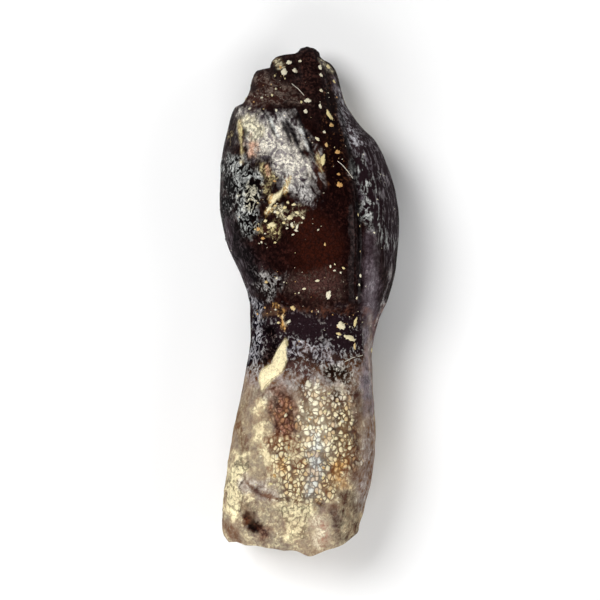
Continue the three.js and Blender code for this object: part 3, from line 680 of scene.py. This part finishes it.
def chain_share(x, y, softness, ragged, points, seed):
    """1 inside a chain of round places, 0 outside it, with a soft and ragged edge. All in pixels."""
    nearest = np.full(x.shape, 1e9)
    for start, end in zip(points, points[1:] or points):
        away, t = to_segment(x, y, start, end)
        nearest = np.minimum(nearest, away - (start[2] + (end[2] - start[2]) * t))
    edge = ripple(x / 9, y / 11, seed)
    edge = edge + 0.6 * ripple(x / 3.7, y / 4.3, seed + 1)
    edge = edge + 0.4 * ripple(x / 1.9, y / 2.3, seed + 2)
    return smoothstep(softness, -softness, nearest + ragged * edge)


def finish_share(places, x, y, seed):
    """How much of a finish a place has, from a list of chains."""
    share = np.zeros(x.shape)
    for i, (strength, softness, ragged, points) in enumerate(places):
        share = np.maximum(share, strength * chain_share(x, y, softness, ragged, points, seed + 10 * i))
    return share


def ground_colours(stops, rows):
    """Dark colour, light colour and its amount at picture rows, as seven numbers."""
    at = [row for row, *_ in stops]
    values = np.array([[*linear(dark)[:3], *linear(light)[:3], amount] for _, dark, light, amount in stops])
    return np.stack([np.interp(rows, at, values[:, k]) for k in range(7)], axis=-1)


def regions(x, y, on_crown):
    """Dark colour, light colour and its amount at places in picture pixels, as seven numbers."""
    wavy = y + 10 * ripple(x / 16, y / 22, 3)
    root = ground_colours(ROOT_GROUND, wavy)
    mixed = root + (ground_colours(CROWN_GROUND, wavy) - root) * on_crown[..., None]
    for i, (dark, light, amount, strength, softness, ragged, points) in enumerate(REGIONS):
        share = strength * chain_share(x, y, softness, ragged, points, 100 + 10 * i)
        wanted = np.array([*linear(dark)[:3], *linear(light)[:3], amount])
        mixed = mixed + (wanted - mixed) * share[..., None]
    return mixed


def paint_tooth(mesh, points, up, scale):
    """Stores the tooth's colours and finishes as attributes."""
    x = PIXEL_ORIGIN[0] + points[..., 0] / PIXEL
    y = PIXEL_ORIGIN[1] - points[..., 1] / PIXEL
    z = points[..., 2]
    labial = smoothstep(-0.2, 0.2, up)
    steep = 1 - smoothstep(0.15, 0.6, up)
    x = x + steep * (9 * ripple(y / 14, z / 1.4, 31) + 5 * ripple(y / 5, z / 0.6, 32))
    y = y + steep * (16 * ripple(y / 18, z / 1.6, 33) + 7 * ripple(y / 6, z / 0.7, 34))
    neck_row = PIXEL_ORIGIN[1] - NECK / PIXEL
    fray = 5 * ripple(x / 8, y / 8, 7) + 3 * ripple(x / 3, y / 3, 8)
    on_crown = smoothstep(neck_row + 5, neck_row - 5, y + fray)
    broken = 1 - smoothstep(0.8, 1.0, scale)

    back_x = 2 * PIXEL_ORIGIN[0] - 8 - x + 18 * ripple(x / 24, y / 30, 41)
    back_y = y + 14 + 26 * ripple(x / 28, y / 34, 42)

    def both_sides(field):
        front = field(x, y)
        back = field(back_x, back_y)
        weight = labial.reshape(labial.shape + (1,) * (front.ndim - labial.ndim))
        return back + (front - back) * weight

    mixed = both_sides(lambda a, b: regions(a, b, on_crown))
    core = 1 - smoothstep(0.4, 0.62, scale + 0.08 * ripple(x / 9, z / 0.8, 21))
    for share, dark, light, amount in ((broken, "hazel", "bone", 0.6), (core, "coffee", "putty", 0.45)):
        filling = np.array([*linear(dark)[:3], *linear(light)[:3], amount])
        mixed = mixed + (filling - mixed) * share[..., None]
    threads = both_sides(lambda a, b: finish_share(THREADS, a, b, 500)) * (1 - broken)
    pebble = both_sides(lambda a, b: finish_share(PEBBLE, a, b, 600)) * (1 - on_crown)
    streak = both_sides(lambda a, b: finish_share(STREAK, a, b, 700)) * (1 - broken)
    slant = both_sides(lambda a, b: finish_share(SLANT, a, b, 750)) * (1 - broken)
    crust = finish_share(CRUST, x, y, 800) * labial * (1 - broken)
    crumbs = finish_share(CRUMBS, x, y, 900) * labial * (1 - broken)

    def whole(values):
        flat = values.reshape(-1, values.shape[-1]) if values.ndim == 3 else values.reshape(-1, 1)
        ends = [values[0].reshape(-1, flat.shape[1]).mean(0), values[-1].reshape(-1, flat.shape[1]).mean(0)]
        return np.concatenate([flat, ends])

    opaque = np.ones(x.shape + (1,))
    dark_colour = np.concatenate([mixed[..., :3], opaque], axis=-1)
    light_colour = np.concatenate([mixed[..., 3:6], opaque], axis=-1)
    add_attribute(mesh, "dark_colour", "FLOAT_COLOR", whole(dark_colour))
    add_attribute(mesh, "light_colour", "FLOAT_COLOR", whole(light_colour))
    add_attribute(mesh, "finish", "FLOAT_VECTOR", whole(np.stack([threads, pebble, streak], axis=-1)))
    add_attribute(mesh, "cover", "FLOAT_VECTOR", whole(np.stack([crust, on_crown, broken], axis=-1)))
    add_attribute(mesh, "light_share", "FLOAT", whole(mixed[..., 6]))
    add_attribute(mesh, "slant", "FLOAT", whole(slant))
    add_attribute(mesh, "crumbs", "FLOAT", whole(crumbs))


def tooth_mesh():
    """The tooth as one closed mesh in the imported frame, in metres, with its colours and finishes."""
    points, up, scale = tooth_rings()
    rows, columns = up.shape
    ring = np.arange(columns)
    following = (ring + 1) % columns
    quads = []
    for row in range(rows - 1):
        here = row * columns
        there = here + columns
        quads.append(np.stack([here + ring, here + following, there + following, there + ring], axis=-1))
    base = rows * columns
    caps = [(base, b, a) for a, b in zip(ring, following)]
    last = (rows - 1) * columns
    caps += [(base + 1, last + a, last + b) for a, b in zip(ring, following)]
    ends = np.array([points[0].mean(0), points[-1].mean(0)])
    placed = np.concatenate([points.reshape(-1, 3), ends])
    placed = (placed - np.array([*FRAME_ORIGIN, 0])) * MM
    mesh = bpy.data.meshes.new("tooth_surface")
    faces = np.concatenate(quads).tolist() + [tuple(int(v) for v in cap) for cap in caps]
    mesh.from_pydata(placed.tolist(), [], faces)
    paint_tooth(mesh, points, up, scale)
    return mesh


def new_piece(name, mesh):
    """An object in the scene that holds a mesh."""
    piece = bpy.data.objects.new(name, mesh)
    bpy.context.scene.collection.objects.link(piece)
    return piece


def geometry_tree(name, inputs):
    """A geometry node tree with named inputs, and a wire for each of them."""
    tree = bpy.data.node_groups.new(name, "GeometryNodeTree")
    tree.interface.new_socket("Geometry", in_out="INPUT", socket_type="NodeSocketGeometry")
    for label, kind in inputs.items():
        tree.interface.new_socket(label, in_out="INPUT", socket_type=kind)
    tree.interface.new_socket("Geometry", in_out="OUTPUT", socket_type="NodeSocketGeometry")
    group = tree.nodes.new("NodeGroupInput")
    return tree, {socket.name: Wire(tree, socket) for socket in group.outputs if socket.name}


def close_tree(tree, geometry, material):
    """Ends a geometry tree in Realize Instances and Set Material."""
    real = geometry.node("GeometryNodeRealizeInstances", None, {"Geometry": geometry})
    done = real.node("GeometryNodeSetMaterial", None, {"Geometry": real, "Material": material})
    tree.links.new(done.socket, tree.nodes.new("NodeGroupOutput").inputs[0])


def apply_tree(piece, tree, values):
    """Runs a geometry tree on a piece and keeps the result as its plain mesh."""
    modifier = piece.modifiers.new(tree.name, "NODES")
    modifier.node_group = tree
    for item in tree.interface.items_tree:
        if item.in_out == "INPUT" and item.name in values:
            modifier[item.identifier] = values[item.name]
    graph = bpy.context.evaluated_depsgraph_get()
    graph.update()
    result = bpy.data.meshes.new_from_object(piece.evaluated_get(graph), depsgraph=graph)
    piece.modifiers.remove(modifier)
    piece.data = result


def named(wire, name, kind="FLOAT_VECTOR"):
    """A named attribute in a geometry tree."""
    return wire.node("GeometryNodeInputNamedAttribute", {"data_type": kind}, {"Name": name}, "Attribute")


def wrinkle_pattern(p):
    """Worm-like wrinkles: 1 on their crests."""
    folds = p.stirred(1.4, 0.55).noise((1.5, 1.15, 1.5), 2.5, 0.6, 0.7)
    return abs(folds - 0.5).step(0.17, 0.0)


def nodules(p, feature="F1", output="Distance"):
    """Bent cells of uneven size, one for each nodule."""
    return p.stirred(1.3, 0.5).cells((2.65, 2.2, 2.65), feature, 0.9, output)


def nodule_pattern(p):
    """Closely packed nodules: 1 on their tops and 0 in the gaps between them."""
    edge = nodules(p, "DISTANCE_TO_EDGE") + (p.noise(1.5, 2.0) - 0.5) * 0.16
    return edge.step(-0.02, 0.17) * nodules(p).step(0.82, 0.3)


def relief_tree():
    """Raises enamel wrinkles, root nodules, crusts and the rough break on the tooth's surface."""
    lengths = ("Wrinkle height", "Nodule height", "Crust height", "Break roughness")
    inputs = {name: "NodeSocketFloat" for name in lengths}
    tree, given = geometry_tree("Tooth relief", {**inputs, "Material": "NodeSocketMaterial"})
    start = given["Geometry"]
    place = start.node("GeometryNodeInputPosition")
    p = place * (1 / MM)
    threads, pebble, streak = named(start, "finish").parts()
    crust, crown, broken = named(start, "cover").parts()
    folds = p.noise((1.5, 0.8, 1.5), 3.0, 0.55, 0.9)
    broad_folds = abs(folds - 0.5).step(0.0, 0.16) * (threads + 0.2)
    wrinkles = (broad_folds + wrinkle_pattern(p) * threads * 0.6) * crown
    lumps = p.noise(0.8, 4.0, 0.55) - 0.5
    ragged = p.noise(2.4, 3.0) - 0.5
    height = given["Wrinkle height"] * wrinkles
    height = height + given["Nodule height"] * (nodule_pattern(p) * pebble + lumps * (1 - crown) * 2.2)
    height = height + given["Crust height"] * (crust + crust * ragged * 1.2)
    height = height + given["Break roughness"] * broken * (ragged + lumps * 1.5)
    normal = start.node("GeometryNodeInputNormal")
    lift = normal.node("ShaderNodeVectorMath", {"operation": "SCALE"}, {0: normal, "Scale": height})
    raised = start.node("GeometryNodeSetPosition", None, {"Geometry": start, "Offset": lift})
    above = place.max((-1.0, -1.0, 0.0))
    seated = start.node("GeometryNodeSetPosition", None, {"Geometry": raised, "Position": above})
    smooth = start.node("GeometryNodeSetShadeSmooth", None, {"Geometry": seated})
    close_tree(tree, smooth, given["Material"])
    return tree


def lump(wire, divisions):
    """A small irregular lump about 1 across, for grains of matrix."""
    ball = wire.node("GeometryNodeMeshIcoSphere", None, {"Radius": 0.5, "Subdivisions": divisions})
    place = wire.node("GeometryNodeInputPosition")
    push = place * ((place.noise(1.9, 2.0, 0.6) - 0.5) * 2.2 + (place.noise(5.0, 2.0) - 0.5) * 1.1)
    return wire.node("GeometryNodeSetPosition", None, {"Geometry": ball, "Offset": push})


def dust_tree():
    """Scatters grains of matrix over the tooth where its crumbs attribute is high."""
    inputs = {"Density": "NodeSocketFloat", "Grain size": "NodeSocketFloat", "Seed": "NodeSocketInt"}
    tree, given = geometry_tree("Matrix dust", {**inputs, "Material": "NodeSocketMaterial"})
    start = given["Geometry"]
    amount = given["Density"] * named(start, "crumbs", "FLOAT")
    scatter = {"Mesh": start, "Density": amount, "Seed": given["Seed"]}
    spread = start.node("GeometryNodeDistributePointsOnFaces", {"distribute_method": "RANDOM"}, scatter)
    turn = Wire(tree, spread.socket.node.outputs["Rotation"])
    chance = start.node("FunctionNodeRandomValue", {"data_type": "FLOAT"}, {"Seed": given["Seed"]}, 1)
    flat = start.node("ShaderNodeCombineXYZ", None, {0: 1.0, 1: 1.4, 2: 0.4})
    size = flat * ((chance * chance * chance * 0.8 + 0.2) * given["Grain size"])
    grains = {"Points": spread, "Instance": lump(start, 1), "Rotation": turn, "Scale": size}
    placed = start.node("GeometryNodeInstanceOnPoints", None, grains)
    tint = start.node("FunctionNodeRandomValue", {"data_type": "FLOAT"}, {"Seed": 7}, 1)
    stored = start.node(
        "GeometryNodeStoreNamedAttribute", {"data_type": "FLOAT", "domain": "INSTANCE"},
        {"Geometry": placed, "Name": "tint", "Value": tint},
    )
    smooth = start.node("GeometryNodeSetShadeSmooth", None, {"Geometry": stored})
    close_tree(tree, smooth, given["Material"])
    return tree


def grain_tree():
    """Puts one grain at each point, turned and sized by the points' attributes."""
    tree, given = geometry_tree("Single grains", {"Material": "NodeSocketMaterial"})
    start = given["Geometry"]
    shape = {"Instance": lump(start, 3), "Rotation": named(start, "turn"), "Scale": named(start, "size")}
    grains = {"Points": start, **shape}
    placed = start.node("GeometryNodeInstanceOnPoints", None, grains)
    smooth = start.node("GeometryNodeSetShadeSmooth", None, {"Geometry": placed})
    close_tree(tree, smooth, given["Material"])
    return tree


def fibre_tree():
    """Sweeps a thin round thread along each line."""
    tree, given = geometry_tree("Fibres", {"Thickness": "NodeSocketFloat", "Material": "NodeSocketMaterial"})
    start = given["Geometry"]
    path = start.node("GeometryNodeMeshToCurve", None, {"Mesh": start})
    radius = given["Thickness"] * 0.5
    ring = start.node("GeometryNodeCurvePrimitiveCircle", None, {"Resolution": 8, "Radius": radius})
    sweep = {"Curve": path, "Profile Curve": ring, "Fill Caps": True}
    thread = start.node("GeometryNodeCurveToMesh", None, sweep)
    smooth = start.node("GeometryNodeSetShadeSmooth", None, {"Geometry": thread})
    close_tree(tree, smooth, given["Material"])
    return tree


def new_material(name):
    """An empty material, a wire to start expressions from, and its Principled shader."""
    material = bpy.data.materials.new(name)
    material.use_nodes = True
    tree = material.node_tree
    shader = tree.nodes["Principled BSDF"]
    coordinates = tree.nodes.new("ShaderNodeTexCoord")
    return material, Wire(tree, coordinates.outputs["Object"]) * (1 / MM), shader


def feed(shader, **values):
    """Links or sets the shader's sockets; an underscore in a name stands for a space."""
    for name, value in values.items():
        socket = shader.inputs[name.replace("_", " ")]
        if isinstance(value, Wire):
            value.tree.links.new(value.socket, socket)
        else:
            socket.default_value = value


def attribute(wire, name, output="Color"):
    """A named attribute in a shader tree."""
    return wire.node("ShaderNodeAttribute", {"attribute_name": name}, None, output)


def fossil_material():
    """Dark glossy enamel and a crusted, nodular root: light mineral, in places painted glare, highlights and
    reflections, lies in patterns over a dark ground, with painted shade in furrows, gaps between nodules and
    pits.
    """
    material, p, shader = new_material("fossil_tooth")
    dark = attribute(p, "dark_colour")
    light = attribute(p, "light_colour")
    share = attribute(p, "light_share", "Fac")
    threads, pebble, streak = attribute(p, "finish", "Vector").parts()
    slant = attribute(p, "slant", "Fac")
    crust, crown, broken = attribute(p, "cover", "Vector").parts()

    loose = p.stirred(1.4, 0.55)
    mottle = p.noise(1.1, 3.0, 0.6)
    broad = p.noise(0.55, 3.0, 0.6)
    fine = p.noise(8.0, 3.0, 0.65)
    granules = loose.noise((3.9, 3.1, 3.9), 2.0, 0.65).step(0.3, 0.7)
    worms = wrinkle_pattern(p)
    strands = p.stirred(0.9, 0.45).noise((3.8, 0.5, 3.8), 3.0, 0.65, 0.3).step(0.34, 0.66)
    slanted = p.node("ShaderNodeVectorRotate", {"rotation_type": "Z_AXIS"}, {"Vector": p, "Angle": -0.46})
    strokes = slanted.stirred(0.9, 0.4).noise((2.1, 0.55, 2.1), 3.0, 0.65, 0.5).step(0.38, 0.6)
    beads = nodule_pattern(p)
    gaps = p.stirred(2.0, 0.5).cells((3.3, 2.6, 3.3), "DISTANCE_TO_EDGE").step(0.0, 0.13)
    pattern = granules * (1 - threads) + (worms * 0.8 + granules * 0.2) * threads
    pattern = pattern * (1 - slant) + (strokes * 0.85 + worms * 0.15) * slant
    pattern = pattern * (1 - streak) + (strands * 0.8 + granules * 0.2) * streak
    pattern = pattern * (1 - pebble) + (beads * 0.85 + granules * 0.15) * pebble
    earthy = (1 - crown) * (1 - pebble) * share.step(0.3, 0.5)
    pattern = (pattern - 0.5) * (1 - earthy * 0.45) + 0.5
    patchy = (share * (1 - share) * 3.2 + 0.35) * (1 - pebble * 0.2) + earthy * 0.8
    over = pattern + share * 1.1 + (mottle - 0.5) * patchy + pebble * 0.14 - 1.08
    lit = over.divided((share * 0.75 - 0.42) * (1 - earthy) - pebble * 0.03 + 0.48).step(-1.0, 1.0)
    glint = (over + fine * 0.5).step(0.4, 0.75)
    each = nodules(p, output="Color").parts()[0]
    tone = glint * 0.4 + 0.74 + pebble * (0.16 - each * 0.3)
    light = (each.step(0.62, 0.8) * pebble * 0.4).blend(light, linear("honey"))
    colour = lit.blend(dark.shaded(fine * 0.9 + 0.5), light.shaded(tone))

    chosen = p.cells(3.1, output="Color").parts()[0]
    sparse = chosen.step(0.91, 0.93) * (mottle - crown * 0.02).step(0.52, 0.6)
    fleck = p.stirred(3.0, 0.25).cells(3.1).step(0.3, 0.2) * sparse
    colour = (fleck * 0.85).blend(colour, linear("bone"))
    edge = crust + (p.noise(2.6, 3.0, 0.6) - 0.5) * 0.55
    crusted = edge.step(0.44, 0.54)
    rimmed = edge.step(0.22, 0.42) * (1 - crusted)
    colour = (rimmed * 0.6).blend(colour, linear("soot"))
    layered = (fine * 0.7 + granules * 0.3).step(0.25, 0.6).blend(light.shaded(0.72), light.shaded(1.05))
    colour = crusted.blend(colour, layered)
    # Painted shade in the furrows: cut darkens the colour where the furrows lie low.
    furrow = (1 - gaps) * (1 - crusted * 0.8) * (1 - streak * 0.7) * (1 - pebble) * (crown * 0.6 + 0.4)
    cut = 1 - furrow * (0.7 - share * 0.4) * (1 - earthy * 0.85)
    # Painted shade in the gaps between the root's raised nodules.
    gap_shade = 1 - (1 - beads) * pebble * 0.3
    colour = colour.shaded((fine * 0.4 + 0.8) * (broad * 0.7 + 0.65) * cut * gap_shade)
    squiggle = worms * share.step(0.3, 0.5) * (1.5 - share * 1.3) * (1 - crown) * (1 - crusted)
    squiggle = squiggle * (broad * 0.5 + mottle * 0.5).step(0.42, 0.6)
    colour = (squiggle * 0.5).blend(colour, linear("rust", 0.75))
    # Dark spots painted as the shade in small cavities of the earthy root.
    pit_shade = p.stirred(1.2, 0.6).noise((2.4, 1.3, 2.4), 4.0, 0.7).step(0.46, 0.34) * earthy
    colour = (pit_shade * (0.6 - share * 0.35)).blend(colour, linear("coffee", 1.2))
    stain = earthy * p.noise(0.42, 3.0, 0.6).step(0.45, 0.7) * 0.3
    colour = stain.blend(colour, linear("hazel", 0.8))

    gloss = crown * (1 - crusted)
    rough = gloss * (lit * 0.12 + 0.26) + (1 - gloss) * (fine * 0.3 + 0.45)
    calm = crown * (1 - lit) * (1 - threads)
    grit = (gaps * (0.5 - earthy * 0.35) + fine * 0.3) * (1 - calm * 0.75)
    height = grit + lit * 0.4 + beads * pebble * 1.4 + crusted * 0.8
    bump = height.node("ShaderNodeBump", None, {"Strength": 0.9, "Distance": 0.045 * MM, "Height": height})
    feed(shader, Base_Color=colour, Roughness=rough, Normal=bump, Coat_Weight=gloss * (lit * 0.15 + 0.05))
    feed(shader, Coat_Roughness=0.12, Specular_IOR_Level=0.0)
    return material


def grain_material():
    """Pale grains of sandy matrix, from ochre to bone."""
    material, p, shader = new_material("matrix_grain")
    tint = attribute(p, "tint", "Fac")
    fine = p.noise(9.0, 3.0, 0.6)
    colour = tint.step(0.1, 0.45).blend(linear("honey", 0.8), linear("sand"))
    colour = tint.step(0.45, 0.85).blend(colour, linear("bone", 0.8))
    colour = (fine.step(0.55, 0.75) * 0.4).blend(colour, linear("taupe"))
    bump = fine.node("ShaderNodeBump", None, {"Strength": 0.6, "Distance": 0.02 * MM, "Height": fine})
    feed(shader, Base_Color=colour, Roughness=fine * 0.3 + 0.5, Normal=bump)
    return material


def fibre_material():
    """A pale thread."""
    material, p, shader = new_material("fine_fibre")
    colour = p.noise(3.0, 2.0).blend(linear("ash"), linear("bone"))
    feed(shader, Base_Color=colour, Roughness=0.5)
    return material


def floor_material():
    """A plain pale floor with a barely visible unevenness."""
    material, p, shader = new_material("pale_floor")
    colour = p.noise(0.02, 2.0).blend((0.88, 0.88, 0.88, 1), (0.9, 0.9, 0.9, 1))
    feed(shader, Base_Color=colour, Roughness=0.75)
    return material


def on_surface(tree, x, y):
    """The place and normal of the labial surface under a picture pixel."""
    across = ((x - PIXEL_ORIGIN[0]) * PIXEL - FRAME_ORIGIN[0]) * MM
    along = ((PIXEL_ORIGIN[1] - y) * PIXEL - FRAME_ORIGIN[1]) * MM
    place, normal, _, _ = tree.ray_cast(Vector((across, along, 30 * MM)), Vector((0, 0, -1)))
    if place is None:
        raise ValueError(f"nothing lies under pixel {x}, {y}")
    return place, normal


def tooth_surface():
    """A search tree over the finished tooth."""
    return BVHTree.FromObject(bpy.data.objects["fossil_tooth"], bpy.context.evaluated_depsgraph_get())


class ToothSettings(bpy.types.PropertyGroup):
    """Sizes of the tooth's surface relief."""

    wrinkle_height: bpy.props.FloatProperty(
        name="Wrinkle height", description="How far the enamel's folds stand out", default=0.05 * MM,
        min=0, unit="LENGTH", precision=6,
    )
    nodule_height: bpy.props.FloatProperty(
        name="Nodule height", description="How far the root's nodules stand out", default=0.07 * MM,
        min=0, unit="LENGTH", precision=6,
    )
    crust_height: bpy.props.FloatProperty(
        name="Crust height", description="Thickness of the crusts of matrix", default=0.12 * MM,
        min=0, unit="LENGTH", precision=6,
    )
    break_roughness: bpy.props.FloatProperty(
        name="Break roughness", description="Height of the lumps on the broken end", default=0.3 * MM,
        min=0, unit="LENGTH", precision=6,
    )


class MatrixSettings(bpy.types.PropertyGroup):
    """Amount and size of the grains and fibres on the tooth."""

    density: bpy.props.FloatProperty(
        name="Grain density", description="Grains on each square metre of the densest places",
        default=4.5e6, min=0,
    )
    grain_size: bpy.props.FloatProperty(
        name="Grain size", description="Width of the largest scattered grain", default=0.3 * MM,
        min=0, unit="LENGTH", precision=6,
    )
    fibre_thickness: bpy.props.FloatProperty(
        name="Fibre thickness", description="Width of the fine fibres", default=0.055 * MM,
        min=0, unit="LENGTH", precision=6,
    )
    seed: bpy.props.IntProperty(name="Seed", description="Which scatter of grains is made", default=4)


class StageSettings(bpy.types.PropertyGroup):
    """The camera and the lights."""

    distance: bpy.props.FloatProperty(
        name="Camera distance", description="Height of the camera over the floor", default=0.45,
        min=0.05, unit="LENGTH",
    )
    key_power: bpy.props.FloatProperty(
        name="Key light", description="Power of the key light", default=1.25, min=0,
    )
    fill_power: bpy.props.FloatProperty(
        name="Fill light", description="Power of the fill lights", default=1.6, min=0,
    )
    sky: bpy.props.FloatProperty(
        name="Walls", description="Brightness of the pale walls", default=0.5, min=0,
    )
    ceiling: bpy.props.FloatProperty(
        name="Ceiling", description="Share of the walls' brightness", default=0.15, min=0,
    )


class FOSSIL_OT_tooth(bpy.types.Operator):
    """Builds the tooth's crown and root"""

    bl_idname = "fossil.tooth"
    bl_label = "Tooth"

    def execute(self, context):
        settings = context.scene.fossil_tooth
        piece = new_piece("fossil_tooth", tooth_mesh())
        values = {
            "Wrinkle height": settings.wrinkle_height,
            "Nodule height": settings.nodule_height,
            "Crust height": settings.crust_height,
            "Break roughness": settings.break_roughness,
            "Material": fossil_material(),
        }
        apply_tree(piece, relief_tree(), values)
        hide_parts(NODE)
        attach(piece, BODY)
        return {"FINISHED"}


class FOSSIL_OT_matrix(bpy.types.Operator):
    """Adds grains of matrix and fine fibres to the tooth"""

    bl_idname = "fossil.matrix"
    bl_label = "Matrix grains and fibres"

    def execute(self, context):
        settings = context.scene.fossil_matrix
        finish = grain_material()
        tooth = bpy.data.objects["fossil_tooth"]
        dust = new_piece("matrix_dust", tooth.data.copy())
        values = {
            "Density": settings.density, "Grain size": settings.grain_size,
            "Seed": settings.seed, "Material": finish,
        }
        apply_tree(dust, dust_tree(), values)

        surface = tooth_surface()
        places = []
        turns = []
        sizes = []
        for (x, y), (width, length), degrees, _ in GRAINS:
            place, normal = on_surface(surface, x, y)
            along = (Vector((0, 1, 0)) - normal * normal.y).normalized()
            upright = Matrix((along.cross(normal), along, normal)).transposed()
            turned = upright @ Matrix.Rotation(math.radians(degrees), 3, "Z")
            places.append(place)
            turns.append(turned.to_euler())
            sizes.append((width * PIXEL * MM, length * PIXEL * MM, 0.6 * min(width, length) * PIXEL * MM))
        points = bpy.data.meshes.new("grain_places")
        points.from_pydata(places, [], [])
        add_attribute(points, "turn", "FLOAT_VECTOR", turns)
        add_attribute(points, "size", "FLOAT_VECTOR", sizes)
        add_attribute(points, "tint", "FLOAT", [lightness for *_, lightness in GRAINS])
        grains = new_piece("matrix_grains", points)
        apply_tree(grains, grain_tree(), {"Material": finish})

        vertices = []
        edges = []
        for line in FIBRES:
            for i, (x, y) in enumerate(line):
                place, normal = on_surface(surface, x, y)
                vertices.append(place + normal * settings.fibre_thickness * 0.4)
                if i:
                    edges.append((len(vertices) - 2, len(vertices) - 1))
        lines = bpy.data.meshes.new("fibre_lines")
        lines.from_pydata(vertices, edges, [])
        fibres = new_piece("fine_fibres", lines)
        values = {"Thickness": settings.fibre_thickness, "Material": fibre_material()}
        apply_tree(fibres, fibre_tree(), values)

        for piece in (dust, grains, fibres):
            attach(piece, BODY)
        return {"FINISHED"}


class FOSSIL_OT_stage(bpy.types.Operator):
    """Adds the floor, the lights and the camera"""

    bl_idname = "fossil.stage"
    bl_label = "Stage"

    def execute(self, context):
        settings = context.scene.fossil_stage
        floor_mesh = bpy.data.meshes.new("pale_floor")
        half = 0.6
        corners = [(-half, -half, 0), (half, -half, 0), (half, half, 0), (-half, half, 0)]
        floor_mesh.from_pydata(corners, [], [(0, 1, 2, 3)])
        floor_mesh.materials.append(floor_material())
        floor = new_piece("pale_floor", floor_mesh)

        soft_box(context, "key_light", (-0.475, 0.285, 0.805), 0.4, 0.2, settings.key_power)
        soft_box(context, "right_light", (0.8, -0.1, 0.5), 0.5, 0.3, settings.fill_power * 0.5)
        soft_box(context, "near_light", (-0.2, -0.85, 0.5), 0.5, 0.3, settings.fill_power)
        world = bpy.data.worlds.new("pale_room")
        world.use_nodes = True
        background = world.node_tree.nodes["Background"]
        coordinates = world.node_tree.nodes.new("ShaderNodeTexCoord")
        height = Wire(world.node_tree, coordinates.outputs["Generated"]).parts()[2]
        room = height.step(0.35, 0.75).blend((1, 1, 1, 1), (settings.ceiling,) * 3 + (1,))
        feed(background, Color=room, Strength=settings.sky)
        context.scene.world = world
        context.scene.view_settings.view_transform = "Standard"

        middle_height = 4.5 * MM
        frame_width = PICTURE_SIZE * PIXEL * MM
        camera_data = bpy.data.cameras.new("camera")
        camera_data.sensor_width = 36.0
        camera_data.lens = 36.0 * (settings.distance - middle_height) / frame_width
        camera = bpy.data.objects.new("camera", camera_data)
        x = ((PICTURE_CENTRE[0] - PIXEL_ORIGIN[0]) * PIXEL - FRAME_ORIGIN[0]) * MM
        y = ((PIXEL_ORIGIN[1] - PICTURE_CENTRE[1]) * PIXEL - FRAME_ORIGIN[1]) * MM
        camera.location = (x, y, settings.distance)
        context.scene.collection.objects.link(camera)
        context.scene.camera = camera
        return {"FINISHED"}


def soft_box(context, name, direction, distance, size, power):
    """A square area light that faces the tooth from a direction."""
    light = bpy.data.lights.new(name, "AREA")
    light.size = size
    light.energy = power
    lamp = bpy.data.objects.new(name, light)
    away = Vector(direction).normalized()
    lamp.location = away * distance
    lamp.rotation_mode = "QUATERNION"
    lamp.rotation_quaternion = away.to_track_quat("Z", "Y")
    context.scene.collection.objects.link(lamp)


class FOSSIL_PT_panel(bpy.types.Panel):
    """Settings and steps of the fossil tooth"""

    bl_idname = "FOSSIL_PT_panel"
    bl_label = "Fossil tooth"
    bl_space_type = "VIEW_3D"
    bl_region_type = "UI"
    bl_category = "Fossil tooth"

    def draw(self, context):
        scene = context.scene
        for settings, operator in (
            (scene.fossil_tooth, FOSSIL_OT_tooth),
            (scene.fossil_matrix, FOSSIL_OT_matrix),
            (scene.fossil_stage, FOSSIL_OT_stage),
        ):
            box = self.layout.box()
            for name in settings.__annotations__:
                box.prop(settings, name)
            box.operator(operator.bl_idname)


CLASSES = (
    ToothSettings, MatrixSettings, StageSettings,
    FOSSIL_OT_tooth, FOSSIL_OT_matrix, FOSSIL_OT_stage, FOSSIL_PT_panel,
)


def register():
    for cls in CLASSES:
        bpy.utils.register_class(cls)
    bpy.types.Scene.fossil_tooth = bpy.props.PointerProperty(type=ToothSettings)
    bpy.types.Scene.fossil_matrix = bpy.props.PointerProperty(type=MatrixSettings)
    bpy.types.Scene.fossil_stage = bpy.props.PointerProperty(type=StageSettings)


def unregister():
    del bpy.types.Scene.fossil_tooth
    del bpy.types.Scene.fossil_matrix
    del bpy.types.Scene.fossil_stage
    for cls in reversed(CLASSES):
        bpy.utils.unregister_class(cls)


def main():
    register()
    bpy.ops.fossil.tooth()
    bpy.ops.fossil.matrix()
    bpy.ops.fossil.stage()


if __name__ == "__main__":
    main()
